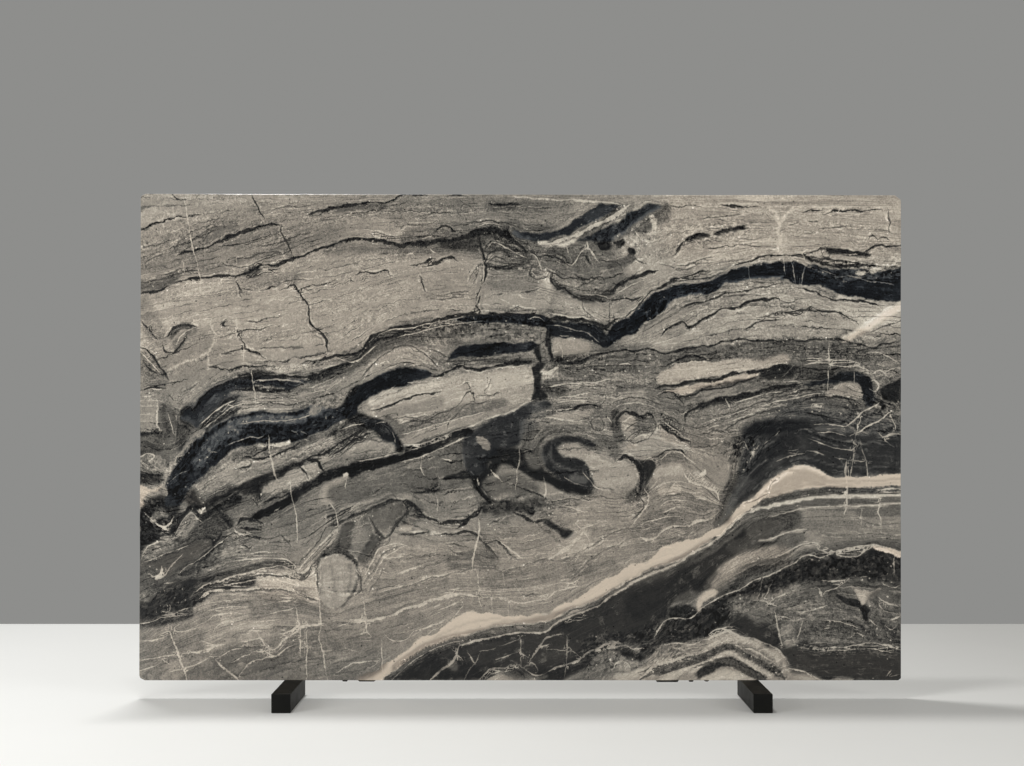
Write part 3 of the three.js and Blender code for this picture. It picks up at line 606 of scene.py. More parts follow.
# Dark seams: width, points. A point may hold its own width as a third number.
DARK_SEAMS = [
    # Seams of the upper part.
    (3, [
        (178, 256), (188, 251), (196, 250), (214, 244), (222, 240, 5), (240, 233, 5), (250, 230, 5),
        (260, 226), (281, 224)]),
    (1, [(141, 265), (150, 259), (160, 255), (170, 250)]),
    (1, [(142, 247), (155, 245), (165, 242), (175, 240)]),
    (1, [(200, 236), (212, 227), (222, 225)]),
    (1, [(272, 211), (290, 206), (310, 206)]),
    (2, [
        (308, 215), (316, 212, 4), (333, 209, 4), (350, 206, 4), (368, 203), (380, 203), (394, 200),
        (402, 195), (427, 195)]),
    (2, [(381, 206), (387, 208)]),
    (2, [(450, 197), (457, 196), (465, 196)]),
    (3, [(488, 203), (500, 204), (519, 204)]),
    (2, [(434, 232), (440, 226), (447, 226), (453, 230), (460, 229)]),
    (3, [(141, 294), (150, 292), (160, 290), (168, 287)]),
    (3, [
        (176, 283), (187, 281), (203, 278), (222, 275), (232, 277), (242, 276), (250, 273), (262, 266),
        (280, 264), (293, 259), (300, 257), (316, 249), (335, 244, 4), (348, 241, 4), (363, 239, 3),
        (385, 242, 4), (397, 244, 5), (410, 244, 6), (423, 243, 6), (438, 241, 6), (462, 238, 6),
        (472, 235, 5), (480, 232), (488, 229), (495, 229), (506, 236), (520, 245)]),
    (2, [(184, 273), (192, 271), (200, 271)]),
    (2, [(248, 279), (256, 277), (264, 274), (272, 271), (280, 272)]),
    (2, [(235, 282), (239, 290), (241, 297)]),
    (3, [(244, 290), (252, 290)]),
    (2, [(262, 291), (270, 288), (277, 286)]),
    (2, [(282, 290), (290, 287), (296, 285)]),
    (2, [(252, 194), (254, 200), (257, 207), (259, 213), (263, 217)]),
    (2, [(281, 226), (281, 233), (286, 239), (289, 247), (293, 256)]),
    (2.6, [
        (294, 282), (299, 294), (302, 300), (308, 305), (309, 312), (310, 320), (314, 328), (321, 332),
        (326, 337), (328, 350)]),
    (1, [(296, 291), (303, 289), (312, 286), (325, 283), (335, 281)]),
    (3, [(167, 336), (172, 330), (177, 325), (184, 323), (197, 325)]),
    (2, [(141, 320), (146, 327), (152, 333), (155, 338)]),
    (3, [
        (480, 235), (481, 245), (485, 262), (486, 270), (483, 278), (480, 288), (478, 305),
        (482, 314)]),
    (2, [(487, 266), (500, 267), (510, 264), (522, 266)]),
    (1, [(412, 266), (418, 264)]),
    (2, [(423, 264), (428, 261), (436, 260)]),
    (2, [(433, 265), (440, 260), (452, 256), (458, 259)]),
    (2, [(355, 276), (360, 274), (376, 272), (386, 271), (392, 276)]),
    (2, [(420, 277), (422, 285), (425, 292)]),
    (0.8, [(436, 297), (450, 294), (468, 290)]),
    (0.8, [(428, 300), (447, 299), (464, 297)]),
    (4, [
        (372, 336), (390, 330, 2), (400, 327), (415, 326), (430, 322), (445, 319), (460, 316),
        (472, 314), (482, 316), (505, 314), (525, 316), (550, 318), (575, 319), (592, 323), (600, 327),
        (606, 329), (614, 321), (620, 319)]),
    (3, [(722, 206), (740, 206), (758, 206)]),
    (2, [(803, 212), (812, 210), (822, 209)]),
    (2, [(825, 213), (835, 211), (850, 211), (880, 210)]),
    (3, [(715, 234), (720, 232), (730, 230), (745, 228)]),
    (2, [
        (735, 265), (745, 262), (755, 259), (762, 256), (790, 256), (802, 255), (812, 259),
        (820, 262)]),
    (4, [(829, 250), (840, 251), (852, 252), (863, 253)]),
    (3, [(866, 250), (872, 246), (880, 245), (887, 247), (901, 246)]),
    (2, [(870, 238), (874, 236), (877, 238)]),
    (2, [(880, 238), (884, 237), (888, 238)]),
    (2, [(655, 291), (665, 283), (675, 279), (690, 275), (710, 270)]),
    (3, [(684, 242), (690, 237), (697, 236), (709, 235)]),
    (2, [(672, 253), (680, 245), (687, 240)]),
    (3, [
        (661, 336), (667, 330), (675, 326), (682, 322), (688, 328), (695, 325), (701, 320), (712, 314),
        (720, 309), (735, 308), (745, 305), (752, 301), (762, 300), (778, 300)]),
    (2, [(680, 309), (687, 305), (695, 303), (705, 302)]),
    (2, [(800, 288), (810, 291), (818, 294), (828, 298), (840, 300), (868, 302), (882, 306)]),
    (2, [(744, 331), (750, 327), (757, 323), (765, 321)]),
    (2, [(775, 316), (800, 310), (812, 311), (838, 312), (850, 318), (856, 323)]),
    (2, [(540, 257), (548, 257), (556, 258), (563, 262), (570, 265), (576, 261), (582, 253)]),
    (2, [(583, 256), (587, 256), (590, 262), (592, 265)]),
    (3, [(612, 293), (618, 288), (625, 282), (633, 277), (642, 275), (652, 273)]),
    (2, [(612, 302), (618, 299), (625, 298), (632, 300), (642, 297)]),
    (2, [(550, 275), (551, 282), (556, 287), (562, 288), (570, 292), (582, 300)]),
    (2, [(595, 297), (600, 301), (608, 300)]),
    (1, [(582, 302), (586, 312)]),
    (1, [(609, 300), (609, 318)]),
    (1, [(265, 341), (275, 339)]),
    (5, [(546, 328), (548, 340), (550, 350), (553, 361)]),
    # Seams of the middle.
    (2, [(163, 345), (165, 352), (170, 354), (176, 350), (182, 342), (190, 333)]),
    (2, [(141, 347), (148, 350), (153, 356), (160, 368), (163, 372), (166, 377)]),
    (2, [(145, 362), (150, 370), (157, 376)]),
    (2, [(209, 365), (218, 368), (228, 371), (237, 368), (243, 366), (258, 367), (270, 366)]),
    (2, [(222, 354), (238, 350), (252, 350)]),
    (2, [(236, 330), (239, 338), (244, 344), (246, 350), (254, 352), (260, 355), (265, 358)]),
    (3, [
        (208, 392), (218, 387), (230, 382), (242, 379), (255, 376), (270, 378), (285, 377), (300, 379),
        (318, 374), (325, 372)]),
    (2, [
        (230, 385), (242, 382), (255, 383), (268, 384), (280, 385), (292, 387), (300, 385), (308, 381),
        (320, 377), (335, 372)]),
    (2, [(232, 391), (245, 388), (258, 390), (270, 391), (285, 391)]),
    (3, [
        (310, 365), (325, 360), (335, 356), (345, 355), (355, 353), (362, 348), (367, 342), (372, 336),
        (380, 332)]),
    (3, [
        (325, 372), (335, 368), (343, 364), (350, 362), (358, 358), (363, 352), (370, 346), (378, 340),
        (390, 337), (402, 334), (415, 333)]),
    (1, [
        (362, 378), (372, 365), (382, 355), (395, 348), (410, 346), (422, 352), (430, 358),
        (438, 366)]),
    (3, [
        (430, 377), (440, 376), (448, 372), (458, 368), (468, 369), (478, 370), (490, 368), (505, 366),
        (530, 363)]),
    (2, [(372, 411), (385, 407), (400, 401), (412, 397), (425, 394), (438, 392)]),
    (2, [(462, 398), (466, 392), (472, 390), (474, 398)]),
    (1, [(466, 382), (470, 388), (473, 395)]),
    (1, [(485, 390), (492, 378)]),
    (2, [(325, 452), (335, 447), (345, 441), (355, 436), (362, 432)]),
    (2, [(332, 456), (340, 450), (350, 444), (360, 438), (372, 434)]),
    (2, [
        (240, 459), (247, 457), (258, 459), (268, 457), (275, 456), (283, 452), (290, 448), (297, 444),
        (305, 441)]),
    (2, [(236, 470), (241, 468), (246, 466), (250, 464), (252, 461)]),
    (3, [(302, 461), (312, 458), (325, 453), (335, 448)]),
    (3, [(303, 463), (310, 461), (318, 463), (321, 468), (325, 472)]),
    (2, [(260, 489), (259, 496), (263, 503)]),
    (2, [(252, 498), (256, 503), (258, 506)]),
    (2, [(262, 503), (275, 498), (288, 493), (300, 487)]),
    (4, [
        (195, 503), (193, 508), (197, 514), (203, 516), (210, 513), (215, 510), (220, 513), (225, 520),
        (231, 526)]),
    (3, [(236, 525), (241, 520), (250, 519), (258, 522), (263, 525)]),
    (3, [(225, 500), (232, 498), (240, 492)]),
    (2, [
        (556, 361), (570, 362), (585, 360), (592, 356), (600, 354), (620, 352), (645, 350), (655, 351),
        (665, 353), (675, 351), (695, 348), (712, 346), (720, 343), (730, 341), (745, 340), (760, 341),
        (800, 340), (820, 338), (835, 340), (845, 341), (855, 344), (862, 346), (875, 347), (885, 344),
        (901, 342)]),
    (2, [(660, 367), (668, 364), (678, 360), (690, 356), (700, 358), (710, 360)]),
    (3, [(560, 412), (572, 407), (590, 405), (600, 408)]),
    (1, [(593, 418), (590, 423), (593, 429), (599, 430), (604, 425), (601, 418), (596, 416)]),
    (3, [(617, 424), (620, 415), (626, 411), (633, 414), (641, 417), (649, 412), (655, 417)]),
    (1.2, [(656, 420), (656, 427), (652, 434), (645, 440), (635, 443), (626, 440)]),
    (5, [(619, 459), (625, 456), (632, 459), (638, 466), (641, 474), (640, 483), (640, 490)]),
    (2, [(661, 424), (668, 430), (676, 436), (684, 441)]),
    (2, [(660, 413), (672, 425), (683, 433)]),
    (2, [(652, 459), (660, 456), (665, 451), (675, 450), (682, 451), (688, 460)]),
    (4, [
        (658, 388), (668, 386), (678, 385), (690, 382), (700, 381), (720, 378), (735, 374), (750, 371),
        (760, 370), (770, 368), (780, 367, 6), (790, 369, 10), (796, 368, 8)]),
    (2, [(757, 376), (745, 381), (725, 387), (705, 391), (690, 395), (672, 397)]),
    (3, [(685, 421), (687, 414), (692, 410), (700, 405)]),
    (5, [(700, 406), (720, 400), (740, 396), (760, 392), (780, 388), (800, 385)]),
    (2, [(828, 398), (838, 396), (848, 398), (857, 401)]),
    (3, [(469, 471), (476, 482), (483, 494), (492, 504)]),
    (2, [(437, 478), (436, 485), (430, 490), (420, 492), (412, 492)]),
    (4, [(480, 505), (478, 512), (470, 517), (465, 522), (458, 527)]),
    (2, [(325, 520), (335, 515), (343, 511), (352, 506)]),
    (3, [
        (330, 527), (340, 521), (350, 516), (360, 513), (370, 509), (385, 503), (392, 501), (402, 501),
        (406, 506), (406, 512), (400, 521), (393, 530), (386, 537), (380, 535), (375, 527),
        (370, 519)]),
    (4, [(405, 500), (413, 504), (418, 510), (424, 515), (432, 518), (440, 521)]),
    (4, [(440, 524), (450, 523), (465, 520), (475, 513), (480, 508)]),
    (3, [(515, 513), (522, 517), (532, 520), (542, 520)]),
    (2, [(523, 489), (530, 491), (537, 494), (543, 496), (548, 500)]),
    (2, [
        (762, 503), (772, 500), (785, 496), (800, 492), (820, 490), (845, 490), (870, 490),
        (902, 489)]),
    # Seams of the lower part.
    (3, [(240, 529), (250, 530), (260, 530)]),
    (3, [(325, 553), (335, 551), (345, 552), (352, 556), (358, 562)]),
    (4, [(359, 574), (362, 582), (362, 590), (358, 594)]),
    (3, [
        (438, 534), (450, 533), (463, 532), (472, 532), (478, 537), (482, 542), (488, 548), (493, 553),
        (497, 558)]),
    (2, [(485, 541), (495, 541), (503, 545), (508, 551), (515, 558)]),
    (1.2, [
        (397, 588), (410, 586), (420, 581), (430, 577), (440, 576), (450, 574), (460, 572), (470, 569),
        (478, 567), (490, 568), (503, 572), (512, 569), (525, 566), (533, 562), (540, 560), (550, 559),
        (560, 560), (575, 558)]),
    (2, [(220, 530), (218, 537), (213, 545), (207, 552), (202, 560), (198, 567), (196, 575)]),
    (2, [(245, 537), (255, 537), (265, 539)]),
    (3, [(245, 545), (249, 547), (252, 546)]),
    (2, [
        (200, 588), (215, 581), (230, 576), (245, 571), (260, 567), (275, 564), (285, 565), (295, 570),
        (303, 576), (310, 569), (318, 559), (325, 551), (335, 541)]),
    (2, [
        (212, 589), (225, 584), (240, 579), (260, 576), (275, 575), (290, 577), (303, 579),
        (312, 571)]),
    (2, [(243, 594), (255, 590), (270, 588), (285, 589), (298, 592), (308, 597), (320, 601)]),
    (2, [(318, 590), (318, 578), (317, 568), (320, 558)]),
    (3, [(322, 551), (328, 553), (334, 551)]),
    (2, [
        (384, 681), (397, 671), (408, 663), (420, 654), (433, 648), (457, 640), (487, 631), (512, 626),
        (545, 624), (556, 620), (575, 610), (600, 600), (623, 586), (645, 574), (668, 566), (688, 558),
        (705, 546), (722, 535), (740, 519), (755, 508)]),
    (2, [
        (403, 673), (415, 664), (428, 655), (445, 648), (470, 640), (500, 634), (530, 630), (548, 627),
        (560, 622)]),
    (2, [(758, 558), (770, 561), (785, 556), (793, 550), (798, 546), (806, 544), (814, 544)]),
    (2, [(740, 570), (747, 566), (755, 563), (763, 562), (772, 563)]),
    (2, [(764, 607), (772, 609), (782, 612), (795, 615), (810, 616), (815, 617)]),
    (3, [(800, 621), (797, 629), (794, 638)]),
    (2, [(805, 651), (820, 652), (845, 650), (870, 651), (890, 655), (901, 653)]),
    (2, [(820, 647), (840, 646), (860, 645), (880, 645)]),
    (3, [(845, 631), (855, 633), (868, 636), (880, 641), (892, 648), (901, 650)]),
    (3, [(870, 614), (876, 622), (884, 630), (890, 640)]),
    (3, [
        (640, 673), (655, 668), (668, 663), (680, 660), (695, 657), (705, 655), (715, 649), (725, 646),
        (735, 648), (742, 651), (750, 658), (757, 660), (765, 664), (775, 671)]),
    (5, [
        (640, 681), (650, 674), (665, 669), (680, 667), (695, 665), (708, 663), (718, 659), (728, 661),
        (738, 666, 7), (748, 671, 7), (760, 677), (766, 681)]),
    (2, [(600, 681), (603, 674), (612, 668), (620, 664)]),
    # Fine seams of the upper part.
    # the top left
    (2, [(150, 195), (160, 194)]),
    (2, [(172, 194), (176, 198), (184, 199)]),
    (1, [(196, 198), (200, 194)]),
    (1, [(187, 236), (178, 243), (172, 250)]),
    (1, [(200, 243), (207, 236), (214, 230), (232, 225)]),
    (1, [(232, 258), (250, 257), (265, 252), (285, 252)]),
    (1, [(222, 263), (240, 268), (258, 262), (275, 256), (288, 253)]),
    (1, [(262, 246), (280, 243), (300, 235), (312, 232)]),
    (1, [(160, 275), (172, 272), (190, 268)]),
    (1, [(140, 283), (155, 281), (168, 278), (180, 272)]),
    (1.5, [(248, 270), (254, 267), (259, 270), (256, 276)]),
    (1, [(281, 283), (290, 281), (300, 279), (308, 280)]),
    (1.5, [(222, 325), (225, 321), (223, 328), (227, 327)]),
    (1.2, [(180, 345), (184, 338), (190, 332)]),
    (1, [(148, 330), (153, 324)]),
    (1, [(220, 336), (238, 332), (270, 327)]),
    (1, [(262, 340), (276, 337)]),
    (1, [(245, 322), (262, 320), (280, 316)]),
    (1, [(318, 330), (322, 326)]),
    # the fold under the top seams
    (1, [(375, 233), (390, 237), (402, 236)]),
    (3, [(414, 266), (424, 263), (436, 260)]),
    (1.5, [(424, 268), (434, 266), (442, 260), (450, 257), (458, 260)]),
    (2, [
        (462, 240), (470, 232), (478, 229), (486, 227), (496, 228), (506, 236), (514, 243), (522, 249),
        (530, 253)]),
    (1.2, [(484, 250), (488, 243), (495, 240), (503, 244), (510, 249), (520, 256), (528, 261)]),
    (1.2, [(486, 258), (490, 252), (497, 250), (505, 252), (512, 256)]),
    (1, [(488, 263), (495, 257), (502, 258), (510, 262)]),
    (1.2, [(468, 222), (480, 221), (490, 220), (500, 222), (512, 225), (525, 229)]),
    (1, [(468, 281), (471, 274), (475, 268), (479, 266)]),
    (1, [(474, 282), (476, 275), (478, 270)]),
    (1.2, [(530, 250), (536, 255), (540, 262), (536, 268)]),
    (1.2, [(528, 262), (533, 267), (530, 273), (535, 279), (543, 279), (547, 276)]),
    (1.5, [(521, 294), (530, 291), (538, 288)]),
    (1.2, [(345, 214), (360, 213), (375, 211), (385, 208)]),
    (1, [(400, 226), (420, 224), (436, 221)]),
    (1, [(420, 216), (440, 212), (460, 215)]),
    (1, [(461, 210), (464, 205), (470, 205), (473, 210)]),
    # the strands over the main band
    (1.5, [(365, 344), (374, 337), (385, 332), (400, 331), (412, 332)]),
    (2.5, [(425, 326), (440, 322), (455, 319), (470, 318), (482, 318)]),
    (1, [(488, 312), (505, 313), (512, 309), (517, 306), (522, 309), (528, 312), (540, 311)]),
    (1.2, [(634, 254), (638, 260), (645, 263)]),
    (1, [(600, 262), (610, 262), (620, 264), (621, 272)]),
    (1.5, [(545, 270), (555, 273), (563, 277), (575, 279), (583, 281)]),
    (1.2, [(576, 287), (590, 282), (598, 276), (603, 279), (606, 285)]),
    (4, [(612, 291), (618, 287), (625, 282), (634, 277), (645, 274), (655, 272)]),
    (1, [(592, 293), (594, 289), (599, 290), (599, 295), (595, 296)]),
    (1, [(582, 303), (586, 311), (592, 316)]),
    (1, [(608, 302), (609, 315), (608, 325)]),
    (1.5, [
        (618, 320), (630, 314), (640, 303), (650, 293), (660, 287), (672, 282), (690, 280), (706, 278),
        (720, 272)]),
    (3, [(687, 238), (694, 237), (702, 237)]),
    (1.5, [(672, 255), (678, 249), (684, 243)]),
    (1, [(660, 263), (668, 266), (676, 270), (684, 270), (692, 267), (700, 264), (712, 263)]),
    (1, [(676, 266), (690, 264), (700, 260), (712, 256)]),
    (1, [(660, 206), (680, 206), (700, 206)]),
    (1, [(700, 220), (720, 217), (740, 215)]),
    # the top right
    (1, [(766, 213), (770, 220)]),
    (1.2, [(888, 210), (889, 222), (889, 230)]),
    (3, [(812, 221), (817, 221)]),
    (2, [(790, 224), (796, 223)]),
    (1, [(820, 229), (840, 227), (855, 226)]),
    (1, [(790, 236), (815, 232)]),
    (1, [(738, 238), (763, 239)]),
    (1, [(705, 249), (718, 247), (730, 245), (745, 244), (760, 247), (775, 248)]),
    (1.5, [(806, 251), (815, 251), (822, 248), (828, 249)]),
    (1, [(821, 251), (823, 257), (829, 256), (829, 251)]),
    (3, [(805, 258), (818, 262), (830, 266), (845, 268), (860, 266), (878, 267)]),
    (2, [(820, 258), (832, 260), (845, 262), (860, 264)]),
    (1.5, [(706, 302), (716, 297), (724, 293), (740, 293), (752, 290), (765, 286), (780, 284)]),
    (1, [(780, 302), (790, 303), (800, 300)]),
    (1.5, [(746, 331), (752, 326), (758, 323), (766, 320), (775, 321), (783, 319)]),
    (1.2, [
        (758, 318), (770, 314), (785, 313), (795, 316), (805, 311), (812, 308), (820, 312), (830, 312),
        (840, 313), (850, 317), (856, 322)]),
    (1, [(868, 332), (878, 329), (888, 325), (900, 320)]),
    (3, [(875, 337), (879, 337)]),
    # Fine seams of the middle.
    # the left edge and the belt
    (3, [(160, 368), (165, 374), (168, 378)]),
    (2, [(141, 390), (150, 387), (158, 387), (165, 388)]),
    (2, [(175, 409), (181, 412)]),
    (1, [(183, 393), (190, 388), (196, 383)]),
    (1.2, [(178, 412), (178, 430), (176, 444)]),
    (1, [(200, 427), (212, 416), (225, 407), (235, 402)]),
    (1, [(208, 430), (222, 420), (232, 412), (240, 408)]),
    (1, [(245, 398), (262, 399), (280, 397), (296, 398)]),
    (1, [(244, 404), (258, 405), (276, 403), (290, 405), (304, 402)]),
    (2.5, [(320, 380), (328, 375), (338, 371)]),
    (1, [
        (210, 365), (216, 365), (221, 369), (226, 370), (229, 373), (233, 372), (238, 369), (258, 367),
        (273, 366)]),
    (1.5, [(300, 364), (310, 361), (322, 360), (326, 357), (338, 355)]),
    (1, [(240, 470), (247, 466), (251, 464), (251, 460)]),
    (2, [(298, 464), (305, 472), (309, 477)]),
    (2, [(315, 462), (320, 468), (324, 473)]),
    (3, [(235, 428), (250, 430), (262, 428)]),
    # round the pale block
    (1.2, [(378, 410), (385, 407), (395, 403), (405, 400), (415, 397), (425, 394), (440, 391)]),
    (1.2, [(463, 383), (467, 382), (470, 388), (472, 395), (476, 402)]),
    (1, [(461, 400), (464, 395), (468, 391)]),
    (1, [(393, 420), (403, 416), (415, 417), (425, 414)]),
    (1.2, [
        (400, 425), (410, 421), (422, 420), (432, 418), (440, 414), (450, 410), (458, 405),
        (462, 399)]),
    (1, [(462, 408), (470, 404), (480, 403), (487, 401)]),
    (1, [(478, 394), (490, 395), (500, 393)]),
    (1, [(420, 424), (426, 422), (434, 424), (436, 430), (428, 432)]),
    (1, [(447, 430), (450, 422), (455, 416), (459, 411)]),
    (3, [(338, 444), (345, 441), (352, 437), (358, 433), (368, 427)]),
    (1, [(340, 456), (348, 450), (356, 444), (364, 441), (372, 439), (384, 441)]),
    (1, [(352, 424), (362, 420), (374, 421)]),
    (1.2, [(440, 362), (455, 362), (470, 362), (490, 360), (510, 361), (528, 358)]),
    (2, [(505, 365), (518, 363), (530, 362)]),
    (1, [(430, 348), (440, 352), (448, 358)]),
    (1, [(400, 474), (412, 470), (422, 472)]),
    # the zone right of the pale block
    (3, [(552, 362), (562, 364), (575, 364), (588, 361)]),
    (1, [(550, 382), (575, 381), (600, 379)]),
    (1, [(552, 390), (565, 391), (578, 388), (590, 386), (607, 386)]),
    (1.5, [(611, 394), (617, 394)]),
    (1.2, [(597, 406), (605, 403), (606, 398)]),
    (2.5, [(548, 412), (556, 411)]),
    (1, [(628, 437), (638, 430), (650, 427), (655, 424)]),
    (1, [(630, 441), (642, 433), (654, 430)]),
    (1, [(625, 430), (635, 422), (648, 418), (654, 419)]),
    (1, [(610, 406), (622, 400), (636, 398), (650, 400), (660, 406)]),
    (3.5, [(661, 423), (667, 428), (674, 434), (682, 439), (690, 441)]),
    (1.5, [(664, 419), (672, 424), (679, 430), (684, 434)]),
    (1, [(663, 413), (672, 418), (680, 425), (686, 432)]),
    (2, [(659, 395), (668, 393), (675, 394), (680, 398), (684, 402)]),
    (1, [(695, 428), (710, 424), (725, 419), (745, 413)]),
    (1, [(700, 435), (715, 431), (730, 433), (740, 430)]),
    (1, [(690, 446), (705, 448), (720, 444)]),
    # the right
    (1.2, [(735, 412), (750, 406), (765, 401), (780, 397), (795, 393), (810, 390)]),
    (1.2, [(720, 433), (735, 424), (750, 417), (765, 412), (780, 409)]),
    (2, [(800, 402), (812, 398), (825, 396), (835, 397)]),
    (1, [(780, 412), (800, 411), (820, 412), (840, 414)]),
    (2.5, [(800, 430), (812, 434), (825, 439), (838, 442), (852, 444), (865, 447)]),
    (3, [(873, 398), (880, 402), (884, 408), (878, 412)]),
    (1, [(795, 350), (815, 348), (840, 350), (860, 349)]),
    (1, [(800, 355), (820, 353), (845, 356), (862, 356)]),
    # Fine seams of the lower part.
    # the left
    (2, [(197, 580), (197, 568), (203, 560), (210, 553), (218, 545), (226, 536), (235, 532)]),
    (1, [(240, 536), (255, 538), (270, 540), (280, 536), (290, 545)]),
    (4, [
        (196, 588), (205, 584), (215, 580), (228, 576), (240, 573), (252, 570), (265, 567),
        (280, 566)]),
    (1.5, [(205, 590), (215, 586), (228, 582), (240, 579), (250, 577), (262, 575)]),
    (1.2, [(299, 565), (308, 553), (318, 541), (326, 530), (334, 520), (338, 516)]),
    (1.5, [(300, 577), (310, 570), (318, 562), (325, 553), (332, 547), (338, 543)]),
    (1, [(205, 519), (212, 509), (222, 513), (230, 519)]),
    (1, [(152, 587), (165, 590), (180, 588)]),
    (1, [(150, 552), (160, 548), (172, 545)]),
    # the middle
    (1.5, [(372, 493), (378, 489), (384, 486)]),
    (2, [(415, 493), (422, 492), (430, 491), (436, 487), (438, 478)]),
    (1.5, [(408, 508), (414, 506), (420, 509), (415, 512), (409, 511)]),
    (3, [(405, 502), (412, 504), (418, 508), (424, 514), (430, 518)]),
    (2, [(408, 515), (415, 516), (422, 516), (430, 518), (438, 521), (442, 523)]),
    (1, [(363, 570), (370, 557), (378, 547), (385, 541)]),
    (1, [(366, 582), (374, 568), (382, 555), (390, 550), (400, 546)]),
    (1, [(370, 592), (378, 577), (384, 568)]),
    (2.5, [(400, 536), (410, 535), (420, 534), (430, 534)]),
    (1.5, [(445, 545), (455, 543), (463, 546), (468, 549)]),
    (1.5, [(450, 550), (458, 553), (468, 555)]),
    (1.2, [(405, 560), (415, 557), (425, 556), (433, 553)]),
    (1.5, [(502, 547), (510, 553), (518, 559)]),
    (1.5, [(490, 524), (496, 521), (502, 518)]),
    (2, [(520, 515), (530, 518), (538, 522), (545, 520)]),
    (1.5, [(508, 484), (520, 487), (532, 492), (545, 497)]),
    (3, [(583, 497), (589, 499)]),
    (1, [
        (548, 560), (560, 559), (572, 557), (580, 552), (590, 547), (600, 540), (612, 535), (625, 530),
        (640, 528)]),
    (1, [(560, 578), (575, 575), (585, 565), (592, 560), (600, 553), (612, 548), (625, 543)]),
    (1.5, [(641, 498), (643, 505), (638, 513), (632, 520)]),
    (1, [(665, 496), (675, 495), (684, 496)]),
    (1.5, [(661, 533), (668, 529), (676, 528), (684, 529)]),
    (1, [(672, 533), (682, 534), (692, 533)]),
    (1.2, [(640, 522), (650, 520), (662, 522)]),
    # the right
    (1.2, [(770, 488), (773, 483), (777, 480)]),
    (1, [(745, 503), (757, 499), (768, 494)]),
    (1.2, [(858, 520), (875, 524), (902, 523)]),
    (1, [(820, 533), (845, 536), (870, 534), (902, 537)]),
    (1.5, [(758, 557), (770, 560), (785, 555), (793, 549)]),
    # Fine seams along the foot.
    (2.5, [(799, 623), (796, 631), (794, 639)]),
    (1.5, [(762, 607), (775, 610), (788, 613), (802, 616), (815, 618)]),
    (1, [(262, 640), (266, 646), (270, 651), (278, 648), (283, 641)]),
    (1.5, [(222, 593), (240, 592), (262, 590), (285, 590), (300, 594), (315, 600)]),
    (2, [(520, 595), (530, 594), (538, 594)]),
    (1.2, [(415, 655), (430, 647), (450, 640), (475, 634), (500, 630), (530, 627)]),
    (1.2, [(400, 664), (412, 657), (425, 650)]),
    (3, [(517, 650), (522, 650)]),
    (4, [(655, 672), (665, 668), (675, 665), (688, 663), (700, 659), (710, 655), (718, 650)]),
    (4, [
        (705, 655), (712, 651), (720, 647), (728, 646), (735, 648), (742, 652), (750, 656), (757, 660),
        (765, 663), (772, 668), (778, 673), (785, 680)]),
    (2, [(660, 652), (672, 650), (684, 652)]),
    (1.2, [(668, 658), (680, 655), (692, 656)]),
    (2, [(713, 634), (722, 630), (735, 629), (745, 634)]),
    (1.5, [(803, 623), (820, 624), (835, 626), (850, 630), (865, 634), (880, 638), (895, 645)]),
    (1.2, [(820, 630), (840, 634), (860, 636), (875, 638)]),
    (1.5, [(765, 608), (780, 612), (805, 616), (815, 616)]),
    (1.2, [(800, 605), (810, 601), (820, 603)]),
    (1.5, [(805, 651), (830, 653), (860, 652), (885, 655)]),
    (1.2, [(830, 645), (850, 644), (870, 640)]),
    (1, [(800, 636), (815, 637), (830, 640)]),
    (1.5, [(850, 616), (862, 622), (872, 630), (885, 636)]),
]

